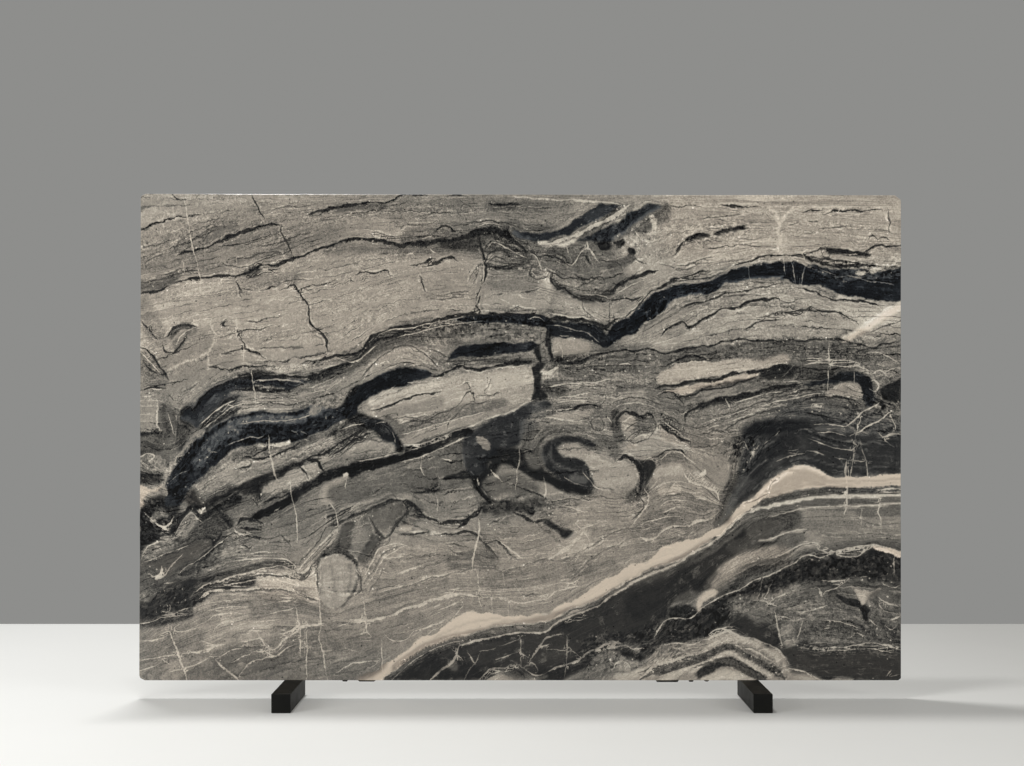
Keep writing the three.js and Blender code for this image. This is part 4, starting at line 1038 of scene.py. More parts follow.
# White veins, in the same form.
WHITE_VEINS = [
    # Veins of the upper part.
    (1, [
        (183, 196), (186, 207), (188, 222), (190, 235), (193, 249), (196, 260), (200, 275),
        (202, 283)]),
    (1, [(236, 318), (236, 337)]),
    (1, [(237, 256), (237, 265)]),
    (1, [(183, 262), (185, 272)]),
    (2, [(515, 197), (530, 198), (560, 200), (590, 201), (620, 204)]),
    (2, [(722, 203), (740, 203), (758, 203)]),
    (1, [(800, 207), (830, 207), (862, 207)]),
    (1, [(720, 218), (735, 217), (745, 214), (755, 212), (762, 211), (770, 215), (776, 220)]),
    (2, [(540, 244), (550, 244), (562, 239), (570, 236), (575, 233)]),
    (1, [(563, 242), (572, 239)]),
    (4, [(576, 236), (590, 228), (605, 221), (618, 214), (628, 206)]),
    (1, [(770, 214), (777, 222), (779, 235), (776, 245)]),
    (1, [(785, 218), (779, 223), (780, 235), (782, 250), (784, 267), (785, 273)]),
    (1, [(789, 248), (791, 262), (793, 268), (796, 283)]),
    (1, [(803, 255), (806, 263), (804, 270), (802, 278), (801, 290)]),
    (1, [(748, 266), (751, 283)]),
    (1, [(838, 208), (838, 222)]),
    # Veins of the middle.
    (1, [(244, 345), (244, 355), (243, 366)]),
    (1, [(252, 372), (253, 385), (255, 395), (256, 405)]),
    (2, [(269, 436), (270, 452), (272, 463), (275, 477), (277, 480)]),
    (1, [(290, 480), (291, 490), (293, 503), (296, 515), (297, 525), (298, 541)]),
    (1, [(169, 415), (171, 425), (173, 433)]),
    (2, [(158, 400), (157, 415), (157, 425), (160, 430)]),
    (1, [(226, 446), (232, 443), (240, 440), (250, 437), (258, 438), (264, 435)]),
    (1, [(172, 480), (178, 475), (186, 471)]),
    (1, [(145, 513), (150, 518), (155, 523), (161, 527), (166, 525), (170, 521)]),
    (1, [(172, 540), (177, 530), (182, 521), (187, 515), (192, 512), (197, 518), (201, 521)]),
    (1, [(519, 448), (519, 460), (517, 470), (517, 480), (515, 488)]),
    (1, [(436, 495), (438, 503), (437, 510)]),
    (1, [(330, 503), (335, 510), (337, 520), (338, 530)]),
    (2, [(544, 478), (545, 485), (546, 492), (544, 497)]),
    (2, [(492, 471), (497, 476), (501, 481)]),
    (2, [(645, 490), (648, 495), (648, 503), (643, 510), (638, 517), (634, 523)]),
    (1, [(640, 525), (646, 522), (655, 520), (663, 517), (680, 516)]),
    (1.2, [(661, 506), (665, 502), (673, 500), (685, 501)]),
    (1.2, [(663, 513), (670, 509), (678, 507), (690, 508)]),
    (1, [(656, 489), (662, 484), (670, 482), (680, 482)]),
    (1, [(829, 345), (829, 360), (830, 365), (838, 366)]),
    (1, [(828, 370), (828, 385), (828, 395)]),
    (1, [(854, 372), (854, 382)]),
    (1, [(859, 417), (857, 430), (854, 445), (853, 460), (850, 478)]),
    (1, [(860, 440), (862, 450), (866, 462), (868, 476), (872, 487)]),
    (2, [(847, 460), (846, 475), (847, 490), (847, 505), (844, 514)]),
    (1, [(878, 487), (879, 500), (880, 505), (878, 512), (881, 520), (881, 532)]),
    (1, [(861, 510), (861, 525)]),
    (2, [(878, 490), (890, 489), (901, 489)]),
    (1, [(768, 518), (785, 513), (800, 509), (825, 506), (860, 506), (901, 503)]),
    # Veins of the lower part.
    (1, [(142, 557), (145, 550), (151, 545), (160, 542), (172, 541)]),
    (2, [(150, 575), (155, 577), (160, 575), (162, 570)]),
    (1, [(163, 611), (168, 613, 3), (174, 614), (180, 611), (190, 607)]),
    (1, [(140, 624), (150, 622), (160, 618), (172, 616), (185, 615)]),
    (2, [(234, 530), (238, 533), (245, 535)]),
    (1, [(205, 585), (225, 580), (245, 573), (265, 568), (280, 566), (290, 569), (298, 573)]),
    (1, [(300, 569), (307, 560), (315, 550), (325, 540), (335, 529)]),
    (1, [(303, 573), (312, 562), (322, 551), (335, 538)]),
    (1, [
        (200, 598), (207, 593), (215, 591), (230, 591), (250, 589), (270, 588), (290, 590),
        (305, 596)]),
    (1, [(168, 625), (172, 640), (176, 650), (180, 660), (184, 672), (187, 680)]),
    (1, [(213, 657, 3), (218, 664), (223, 669), (230, 674), (235, 677), (238, 680)]),
    (1, [(296, 605), (297, 615), (299, 626)]),
    (2, [(281, 634), (290, 632), (296, 627), (303, 626), (312, 626), (322, 624)]),
    (2, [(305, 621), (308, 625), (303, 628)]),
    (1, [(320, 600), (320, 615), (321, 626), (319, 637), (322, 650), (325, 665), (327, 680)]),
    (1, [(307, 630), (307, 650), (307, 680)]),
    (2, [
        (352, 620), (355, 623), (365, 621), (380, 618), (395, 614), (402, 610), (412, 606), (418, 607),
        (428, 603), (440, 599), (450, 596), (460, 594), (468, 596), (480, 597)]),
    (2, [(440, 610), (448, 606), (456, 603), (462, 600)]),
    (1, [(478, 570), (478, 580), (479, 590), (479, 600), (482, 608)]),
    (1, [(366, 600), (366, 615), (367, 632)]),
    (2, [(479, 520), (479, 530), (477, 540), (475, 550), (473, 560), (472, 567)]),
    (2, [(502, 543), (512, 551), (520, 557), (524, 558)]),
    (2, [(400, 573), (410, 569), (420, 566)]),
    (3, [(548, 559), (556, 555), (565, 549), (573, 543), (578, 536)]),
    (1, [(661, 533), (667, 529), (675, 527), (690, 525), (695, 521, 3), (700, 522), (708, 521)]),
    (2, [(646, 538), (650, 540), (655, 538), (660, 535)]),
    (1, [(637, 530), (645, 529), (650, 528)]),
    (1, [(894, 555), (894, 565), (892, 575)]),
    (1, [(390, 681), (402, 671), (413, 662), (425, 654), (440, 647), (460, 641)]),
    (2, [
        (460, 645), (475, 641), (490, 638), (505, 635), (520, 633), (545, 632), (552, 627), (560, 621),
        (575, 615), (590, 609), (600, 605), (608, 599), (615, 594), (632, 584), (645, 577), (655, 573),
        (668, 567), (680, 562), (695, 552), (705, 547), (715, 540), (725, 531), (735, 522), (745, 514),
        (755, 510), (770, 507), (785, 503), (800, 499), (830, 496), (860, 496), (901, 495)]),
    (1, [(760, 541), (770, 539), (785, 533), (795, 530), (805, 529)]),
    (2, [(460, 645), (457, 652), (454, 660), (448, 666), (440, 671), (430, 680)]),
    (1, [(521, 637), (521, 650), (521, 660), (522, 668), (530, 665)]),
    (2, [(560, 634), (548, 637), (542, 643), (536, 652), (530, 660)]),
    (1, [(567, 637), (567, 650), (566, 665), (565, 675)]),
    (2, [
        (548, 672), (558, 667), (570, 664), (580, 659), (588, 652), (600, 647), (612, 643),
        (622, 643)]),
    (1.2, [
        (655, 636), (660, 626), (666, 620), (676, 618), (690, 618), (700, 610), (708, 604), (716, 599),
        (726, 594), (738, 590), (748, 584), (757, 579), (768, 576), (778, 572), (786, 567), (795, 563),
        (802, 557), (812, 555), (820, 558), (832, 554), (845, 557), (857, 557), (865, 551),
        (877, 547)]),
    (2, [
        (815, 547), (824, 552), (832, 552), (842, 550), (852, 548), (864, 546), (880, 546),
        (892, 550, 4), (902, 555, 4)]),
    (2, [(775, 612), (777, 620), (779, 632), (783, 645)]),
    (1, [(805, 645), (830, 648), (850, 646), (866, 643), (885, 644), (901, 648)]),
    (3, [(640, 679), (650, 670), (660, 664), (675, 660), (690, 655)]),
    (1, [(484, 674), (492, 668), (505, 668), (512, 664), (520, 668)]),
    # Fine veins of the upper part.
    (1, [(258, 275), (268, 271), (276, 273)]),
    (1.2, [(176, 345), (180, 337), (188, 330), (195, 327)]),
    (1, [(212, 318), (210, 324), (214, 332), (217, 336), (215, 345)]),
    (1, [(236, 318), (236, 332), (241, 340)]),
    (4, [(408, 254), (411, 253)]),
    (3, [(424, 238), (430, 236)]),
    (2, [(432, 250), (438, 255)]),
    (2, [(426, 268), (432, 267)]),
    (1, [(488, 247), (492, 242), (499, 243), (506, 248), (516, 253), (526, 258)]),
    (1, [(478, 226), (488, 223), (500, 225)]),
    (2, [(480, 285), (481, 291)]),
    (2, [(478, 297), (479, 303)]),
    (1, [(380, 334), (395, 329), (410, 328), (425, 324), (445, 321), (465, 317)]),
    (1, [(400, 336), (415, 333), (430, 329), (450, 325), (470, 322), (485, 321)]),
    (1, [(530, 319), (536, 317), (543, 320)]),
    (1.2, [(484, 264), (483, 278), (480, 292), (477, 303), (480, 309)]),
    (1, [(531, 253), (537, 258), (541, 266), (541, 272)]),
    (1, [(533, 272), (537, 277), (544, 275)]),
    (2, [(499, 298), (507, 302)]),
    (5, [(652, 221), (654, 229)]),
    (3, [(567, 247), (568, 252)]),
    (3, [(587, 244), (588, 248)]),
    (2, [(636, 233), (640, 238)]),
    (2.5, [(552, 244), (562, 240), (572, 236), (577, 232)]),
    (1.5, [(566, 263), (570, 265), (574, 264), (580, 254), (586, 249), (592, 252), (598, 262)]),
    (1, [(616, 294), (624, 289), (634, 284), (645, 280)]),
    (1, [(583, 294), (592, 295), (600, 295), (606, 297)]),
    (1.5, [(548, 313), (560, 315), (572, 317), (582, 317), (590, 319)]),
    (1, [(548, 325), (562, 326), (575, 330), (588, 333), (598, 341)]),
    (3, [(562, 336), (567, 336)]),
    (1.5, [(690, 262), (705, 257), (715, 254), (725, 257), (735, 259)]),
    (1.5, [(778, 222), (784, 218), (790, 212), (800, 207)]),
    (1.2, [(779, 228), (778, 240), (777, 248)]),
    (1.5, [(742, 211), (750, 208), (762, 206)]),
    (1.5, [(800, 206), (820, 207), (864, 207)]),
    (1.2, [(840, 207), (838, 214), (839, 224)]),
    (1.2, [(884, 212), (886, 220)]),
    (3, [(846, 255), (855, 254)]),
    (4, [(872, 270), (880, 269)]),
    (3, [(856, 274), (866, 273)]),
    (4, [(886, 263), (902, 262)]),
    (1, [(835, 278), (848, 276), (860, 279), (875, 282), (892, 284)]),
    (1, [(820, 270), (835, 275)]),
    (3, [(838, 298), (847, 298)]),
    (3, [(734, 291), (741, 291)]),
    # Fine veins of the middle.
    (1, [(141, 352), (147, 358), (153, 365), (160, 374)]),
    (3, [(145, 397), (151, 396)]),
    (2.5, [(153, 389), (160, 389)]),
    (1.2, [(157, 400), (158, 412), (156, 424), (159, 432)]),
    (1.5, [(141, 456), (148, 453), (155, 456), (150, 460)]),
    (1.2, [(200, 425), (212, 414), (225, 405), (235, 400)]),
    (1, [(205, 428), (218, 418), (230, 408), (240, 404)]),
    (1.5, [(255, 381), (265, 380), (280, 380), (292, 381), (305, 383)]),
    (1, [(240, 424), (262, 421), (285, 421), (300, 418), (312, 414)]),
    (3, [(292, 431), (294, 432)]),
    (2, [(303, 432), (305, 433)]),
    (2, [(304, 440), (306, 440)]),
    (2.5, [(212, 452), (215, 452)]),
    (4, [(274, 445), (282, 444), (289, 443)]),
    (3, [(261, 446), (264, 446)]),
    (1.5, [(323, 369), (330, 367), (338, 365)]),
    (1.5, [(338, 358), (348, 362), (358, 360), (368, 352), (374, 347)]),
    (3, [(411, 365), (418, 364)]),
    (3, [(390, 368), (396, 366)]),
    (3, [(410, 383), (418, 382)]),
    (3, [(384, 394), (394, 387)]),
    (4, [(430, 386), (444, 383)]),
    (1, [(410, 396), (425, 392), (440, 388)]),
    (1.5, [
        (405, 445), (415, 445), (428, 442), (437, 438), (447, 435), (455, 431), (465, 428), (478, 423),
        (490, 418), (503, 414), (515, 410), (525, 404), (533, 401)]),
    (1, [(405, 452), (415, 449), (425, 446), (440, 440), (452, 436)]),
    (1, [(360, 461), (380, 457), (398, 453)]),
    (1, [(400, 462), (415, 459), (430, 453), (445, 447), (458, 441), (470, 436)]),
    (1, [(404, 434), (420, 430), (440, 424), (462, 418), (485, 412)]),
    (1, [(400, 417), (415, 413), (430, 411)]),
    (2.5, [(444, 459), (450, 460)]),
    (1.2, [(421, 458), (421, 468), (424, 475)]),
    (1, [(340, 430), (352, 426), (362, 424)]),
    (1.5, [(377, 424), (383, 422)]),
    (2, [(393, 434), (395, 441)]),
    (1, [(478, 437), (487, 440)]),
    (1, [(478, 442), (489, 444)]),
    (1, [(463, 370), (480, 372), (500, 368), (520, 366)]),
    (1, [(560, 345), (563, 352), (562, 358)]),
    # the zone right of the pale block
    (3, [(548, 372), (557, 368)]),
    (3, [(621, 364), (629, 364)]),
    (1.2, [(548, 387), (565, 384), (580, 383), (595, 382), (610, 379)]),
    (1, [(560, 397), (575, 395), (590, 393)]),
    (1, [(556, 402), (575, 400), (595, 402)]),
    (3, [(563, 410), (571, 408)]),
    (1.2, [(548, 417), (570, 421), (588, 420)]),
    (4, [(624, 421), (630, 417)]),
    (1, [(612, 410), (620, 405), (632, 403), (645, 404), (656, 408)]),
    (1, [(662, 420), (672, 427), (683, 436)]),
    (2.5, [(609, 418), (611, 421)]),
    (1.2, [(662, 459), (668, 453), (678, 452), (683, 454), (688, 459), (696, 464)]),
    (1, [(644, 462), (650, 457), (654, 462), (658, 460)]),
    (2, [(620, 453), (632, 453)]),
    (3, [(669, 453), (680, 453)]),
    (3, [(726, 401), (729, 406)]),
    (1, [(700, 424), (715, 419), (730, 415), (748, 409)]),
    (1, [(705, 430), (720, 425), (735, 420), (745, 417)]),
    (3, [(681, 414), (685, 413)]),
    # the right
    (3, [(738, 372), (746, 370), (755, 367)]),
    (3, [(776, 364), (783, 363)]),
    (1, [(783, 376), (793, 366)]),
    (2, [(784, 382), (798, 381)]),
    (4, [(790, 393), (796, 391)]),
    (1.2, [(748, 410), (765, 405), (780, 401), (795, 398), (810, 395), (822, 394)]),
    (1, [(735, 402), (750, 398), (765, 394), (780, 392)]),
    (1, [(740, 418), (755, 412), (770, 408), (785, 405)]),
    (2, [(813, 404), (822, 404)]),
    (1, [(800, 408), (820, 407)]),
    (4, [(752, 456), (757, 448)]),
    (2, [(745, 443), (747, 448)]),
    (2, [(766, 442), (769, 440)]),
    (2, [(776, 435), (778, 433)]),
    (1.2, [(816, 424), (830, 424), (845, 427)]),
    (1.2, [(820, 432), (832, 432), (845, 436)]),
    (1.5, [(790, 451), (797, 450)]),
    (1.5, [(808, 451), (817, 452), (823, 455)]),
    (1.2, [(778, 461), (790, 456), (803, 454)]),
    (1, [(810, 439), (825, 445), (840, 449), (855, 451)]),
    (1, [(836, 458), (847, 460), (858, 461), (870, 461)]),
    (1.5, [(808, 364), (820, 362), (832, 364), (845, 367), (857, 366), (868, 370)]),
    (1, [(800, 359), (815, 358), (832, 360), (850, 361), (865, 366)]),
    (1.5, [(871, 381), (875, 380), (879, 386), (876, 392), (871, 390)]),
    (1.5, [(846, 427), (855, 420), (862, 413), (870, 408), (878, 404)]),
    (1.5, [(850, 436), (860, 431), (870, 425), (880, 420), (890, 412)]),
    (1.2, [(858, 413), (861, 418), (858, 428), (855, 436)]),
    (1.5, [(852, 441), (857, 446), (860, 450)]),
    (2.5, [(882, 437), (892, 434), (900, 434)]),
    (1.5, [(888, 412), (893, 420), (896, 428)]),
    (1.2, [(879, 433), (885, 440), (893, 446)]),
    (1, [(893, 402), (900, 410)]),
    (1, [(868, 352), (878, 352), (886, 356), (895, 360), (900, 364)]),
    (2, [(882, 354), (890, 357)]),
    (1, [(885, 372), (893, 368), (900, 367)]),
    (1, [(870, 375), (880, 370), (888, 377)]),
    # Fine veins of the lower part.
    # the left
    (1.5, [(153, 518), (157, 524), (163, 527), (169, 524), (172, 518)]),
    (1, [(146, 561), (156, 558), (166, 554), (178, 549), (188, 545)]),
    (1, [(163, 578), (168, 570), (175, 562), (182, 555)]),
    (1, [(180, 572), (188, 566), (196, 562), (204, 556), (212, 549), (222, 541), (230, 535)]),
    (3, [(152, 577), (157, 579), (161, 574), (162, 568)]),
    (2.5, [(166, 583), (171, 583)]),
    (3, [(276, 510), (279, 508)]),
    (2, [(233, 528), (237, 533), (243, 535), (249, 534)]),
    (1.2, [(235, 561), (250, 559), (270, 558), (285, 559), (293, 564), (298, 569)]),
    (1, [(236, 555), (260, 552), (275, 552)]),
    (1.2, [(225, 585), (240, 583), (255, 580), (270, 580)]),
    (1.5, [(202, 598), (208, 593), (215, 591)]),
    (1.5, [(298, 570), (305, 562), (313, 553), (322, 543), (330, 535), (338, 529)]),
    (2, [(163, 530), (168, 530)]),
    (3, [(160, 538), (170, 536)]),
    # the middle
    (2, [(346, 480), (345, 487)]),
    (3, [(357, 571), (359, 574)]),
    (1.2, [(365, 575), (372, 562), (378, 550), (388, 545), (398, 543)]),
    (1, [(366, 587), (375, 573), (382, 560), (392, 553), (400, 548)]),
    (1, [(383, 591), (400, 587), (415, 583), (430, 576), (445, 574), (460, 571)]),
    (2, [(440, 600), (450, 597), (460, 594), (472, 595)]),
    (3, [(450, 590), (460, 588)]),
    (1, [(480, 597), (495, 597), (510, 598)]),
    (2, [(515, 586), (519, 591)]),
    (1, [(480, 588), (500, 588)]),
    (1, [(480, 592), (500, 592)]),
    (1.5, [(566, 478), (574, 483), (582, 485)]),
    (1, [(583, 473), (590, 480), (595, 487), (605, 490)]),
    (1, [(560, 505), (572, 508), (585, 512)]),
    (2, [(560, 555), (570, 547), (580, 537), (583, 529)]),
    (1, [(575, 522), (582, 528), (600, 522)]),
    (1, [(582, 528), (588, 538), (592, 548)]),
    (1.2, [(548, 586), (558, 583), (573, 583), (580, 578)]),
    (1.5, [(548, 598), (556, 592), (570, 588), (580, 586)]),
    (1.2, [(696, 499), (702, 498), (708, 500)]),
    (1.5, [(684, 473), (690, 481), (700, 485), (710, 489), (717, 493), (719, 499)]),
    (1, [(688, 470), (695, 478), (705, 483), (715, 490)]),
    (1, [(692, 470), (702, 478), (712, 484), (718, 490)]),
    (1.2, [(681, 490), (688, 492), (697, 493), (704, 491)]),
    (1.5, [(658, 535), (665, 529), (675, 526), (685, 527), (695, 523), (703, 521), (712, 519)]),
    (3, [(642, 538), (648, 540), (654, 538)]),
    (3.5, [(693, 523), (700, 521), (706, 521)]),
    # the right
    (1.2, [(780, 556), (790, 550), (797, 546), (805, 544), (815, 543), (822, 548)]),
    (2, [(823, 580), (835, 581), (847, 580)]),
    (1, [(850, 578), (865, 577)]),
    (6, [(820, 591), (821, 595)]),
    (1.2, [(823, 592), (835, 588), (845, 582)]),
    (1.2, [(825, 547), (835, 552), (845, 552), (855, 550), (865, 548), (875, 547), (882, 545)]),
    (1.2, [(895, 556), (893, 565), (894, 575)]),
    # Fine veins along the foot.
    # the lower left
    (1.5, [(196, 592), (205, 585), (215, 581), (226, 579), (240, 574), (255, 572)]),
    (1.5, [(200, 598), (207, 592), (215, 590), (240, 590), (262, 588), (285, 588), (298, 591)]),
    (1, [(200, 606), (210, 603), (225, 601), (240, 599)]),
    (1, [(205, 613), (215, 609), (228, 607), (242, 606)]),
    (1.2, [(208, 620), (214, 616), (225, 614), (240, 613)]),
    (1.5, [(214, 630), (220, 624), (230, 621), (240, 620)]),
    (1.5, [(280, 598), (290, 598), (298, 600)]),
    (1.2, [(278, 602), (290, 601), (298, 603)]),
    (1, [(265, 604), (272, 604)]),
    (1, [(250, 622), (262, 621), (275, 620)]),
    (1, [(268, 614), (280, 611), (295, 608)]),
    (1, [(178, 625), (174, 629), (178, 632), (186, 631), (198, 628)]),
    (1, [(158, 635), (164, 633), (170, 631)]),
    (1, [(140, 641), (152, 641), (165, 637)]),
    (1, [(200, 641), (215, 645), (228, 644)]),
    (1.2, [(140, 660), (155, 658), (170, 655), (182, 654), (192, 652), (205, 650), (220, 646)]),
    (1, [(190, 651), (200, 653), (212, 650)]),
    (1, [(160, 657), (165, 661), (170, 664)]),
    (1, [(140, 670), (150, 667), (160, 663)]),
    (1.2, [(170, 672), (182, 669), (195, 665), (205, 660)]),
    (1, [(220, 657), (232, 650), (242, 649)]),
    (1, [(232, 662), (242, 657), (250, 654)]),
    (1.5, [
        (243, 642), (255, 640), (261, 638), (264, 643), (268, 648), (274, 650), (279, 646), (283, 640),
        (288, 637), (295, 632), (303, 628)]),
    (1.2, [(255, 652), (262, 649), (268, 653), (276, 656), (282, 652), (287, 648), (294, 645)]),
    (1.2, [(240, 674), (246, 667), (252, 662), (260, 660), (268, 657), (276, 657)]),
    (4, [(260, 652), (266, 652)]),
    (1.2, [(296, 639), (304, 639)]),
    (1.5, [(305, 646), (312, 647)]),
    (1.5, [(322, 651), (330, 650)]),
    (1.3, [(296, 605), (297, 613), (300, 625), (301, 640), (300, 655)]),
    (1.6, [(319, 598), (320, 612), (321, 622)]),
    (1.6, [(168, 625), (171, 636), (175, 645), (179, 655), (184, 670), (187, 680)]),
    (2, [(214, 658), (219, 664), (226, 670), (233, 675), (239, 680)]),
    (4, [(212, 657), (216, 657)]),
    (3, [(165, 612), (172, 613)]),
    (2, [(170, 606), (169, 611)]),
    # the middle
    (3, [
        (352, 620), (368, 620), (380, 618), (395, 614), (405, 609), (415, 607), (430, 601), (445, 597),
        (460, 594), (470, 596)]),
    (1.2, [(450, 622), (458, 612), (463, 606)]),
    (1.5, [(412, 631), (425, 628), (435, 624), (445, 620)]),
    (1.2, [(338, 626), (350, 623)]),
    (1, [(385, 635), (392, 640), (400, 641), (408, 638), (412, 632)]),
    (1.2, [(363, 598), (365, 612), (366, 630)]),
    (2, [(361, 634), (366, 632), (371, 636)]),
    (1.2, [(362, 641), (370, 640)]),
    (1, [(382, 640), (382, 655), (383, 675)]),
    (1, [(340, 655), (350, 653)]),
    (1, [(345, 648), (357, 651)]),
    (1.2, [(338, 672), (350, 664), (362, 662), (380, 660)]),
    (1.5, [(500, 599), (510, 601), (520, 603), (530, 602), (545, 599)]),
    (1, [(530, 598), (540, 596), (548, 594)]),
    (1, [(508, 598), (508, 614)]),
    (1, [(492, 596), (492, 612)]),
    (1, [(503, 572), (504, 584)]),
    (1.5, [(448, 665), (443, 668), (438, 672), (430, 680)]),
    (1, [(452, 650), (458, 655), (462, 658)]),
    (1.2, [(468, 652), (472, 658), (475, 663), (479, 655)]),
    (1.2, [(475, 663), (470, 670), (465, 679)]),
    (1, [(479, 651), (488, 650), (495, 648)]),
    (1, [(500, 646), (510, 643), (520, 639)]),
    (1, [(495, 660), (505, 657), (515, 653), (520, 653), (530, 659)]),
    (3, [(520, 667), (526, 670)]),
    (1.5, [(526, 670), (535, 676), (545, 674)]),
    (1.2, [(523, 669), (530, 663), (535, 664), (538, 670)]),
    (3, [(540, 647), (547, 645)]),
    (1.5, [(480, 679), (486, 673), (495, 669), (505, 668), (512, 666), (518, 669)]),
    (1, [(484, 680), (490, 675), (500, 672), (510, 671)]),
    (1.2, [(566, 623), (572, 621), (580, 620), (587, 618)]),
    (1, [(548, 649), (560, 650), (572, 651)]),
    (1, [(568, 646), (574, 652), (579, 656)]),
    (2, [(600, 647), (606, 643), (613, 641), (620, 644)]),
    (2, [(603, 650), (610, 648), (617, 647), (625, 645), (632, 649)]),
    (1, [(605, 640), (612, 645), (618, 641)]),
    (1.5, [(586, 655), (592, 650), (598, 651)]),
    (3, [(632, 649), (642, 648)]),
    (1.2, [(614, 668), (616, 663), (622, 661), (629, 664), (630, 669)]),
    # the hump and the lower right
    (2.5, [
        (705, 640), (712, 637), (720, 634), (728, 631), (735, 634), (742, 638), (750, 638), (757, 640),
        (765, 644), (772, 646), (780, 651), (784, 657), (788, 662)]),
    (1.2, [(708, 635), (715, 630), (725, 628), (735, 626)]),
    (1.5, [(745, 648), (757, 652), (767, 658), (775, 664)]),
    (2, [
        (660, 676), (675, 671), (690, 667), (705, 662), (715, 657), (724, 653), (732, 653), (740, 658),
        (748, 663), (755, 668), (762, 673)]),
    (1.2, [(664, 645), (676, 643), (690, 645), (700, 642)]),
    (1.5, [(790, 668), (800, 671), (810, 675), (820, 680)]),
    (1, [(757, 598), (760, 590), (762, 580)]),
    (1, [(762, 600), (768, 592), (772, 582)]),
    (1.5, [(755, 600), (765, 601), (775, 605)]),
    (1.2, [(768, 604), (775, 598), (785, 594), (795, 590)]),
    (1.5, [(802, 622), (800, 630), (797, 637)]),
    (1, [(777, 616), (785, 617), (792, 620)]),
    (1.2, [
        (800, 648), (815, 649), (830, 648), (845, 647), (858, 645), (870, 643), (885, 645),
        (900, 650)]),
    (1, [(820, 651), (845, 650), (870, 649), (890, 652)]),
    (1, [(795, 612), (810, 611), (825, 606)]),
    (1, [(820, 620), (840, 622), (856, 627)]),
    (3, [(825, 629), (828, 628)]),
    (3, [(858, 633), (862, 635)]),
    (2, [(852, 636), (854, 635)]),
    (2.5, [(880, 605), (883, 609)]),
    (5, [(893, 619), (898, 617)]),
    (2, [(870, 620), (875, 625)]),
    (1, [(886, 626), (892, 630), (896, 626)]),
    (3, [(887, 675), (890, 671)]),
    (2, [(893, 676), (900, 674)]),
    (1.2, [(880, 598), (888, 604), (898, 606)]),
    (1, [(883, 584), (892, 588), (900, 585)]),
]

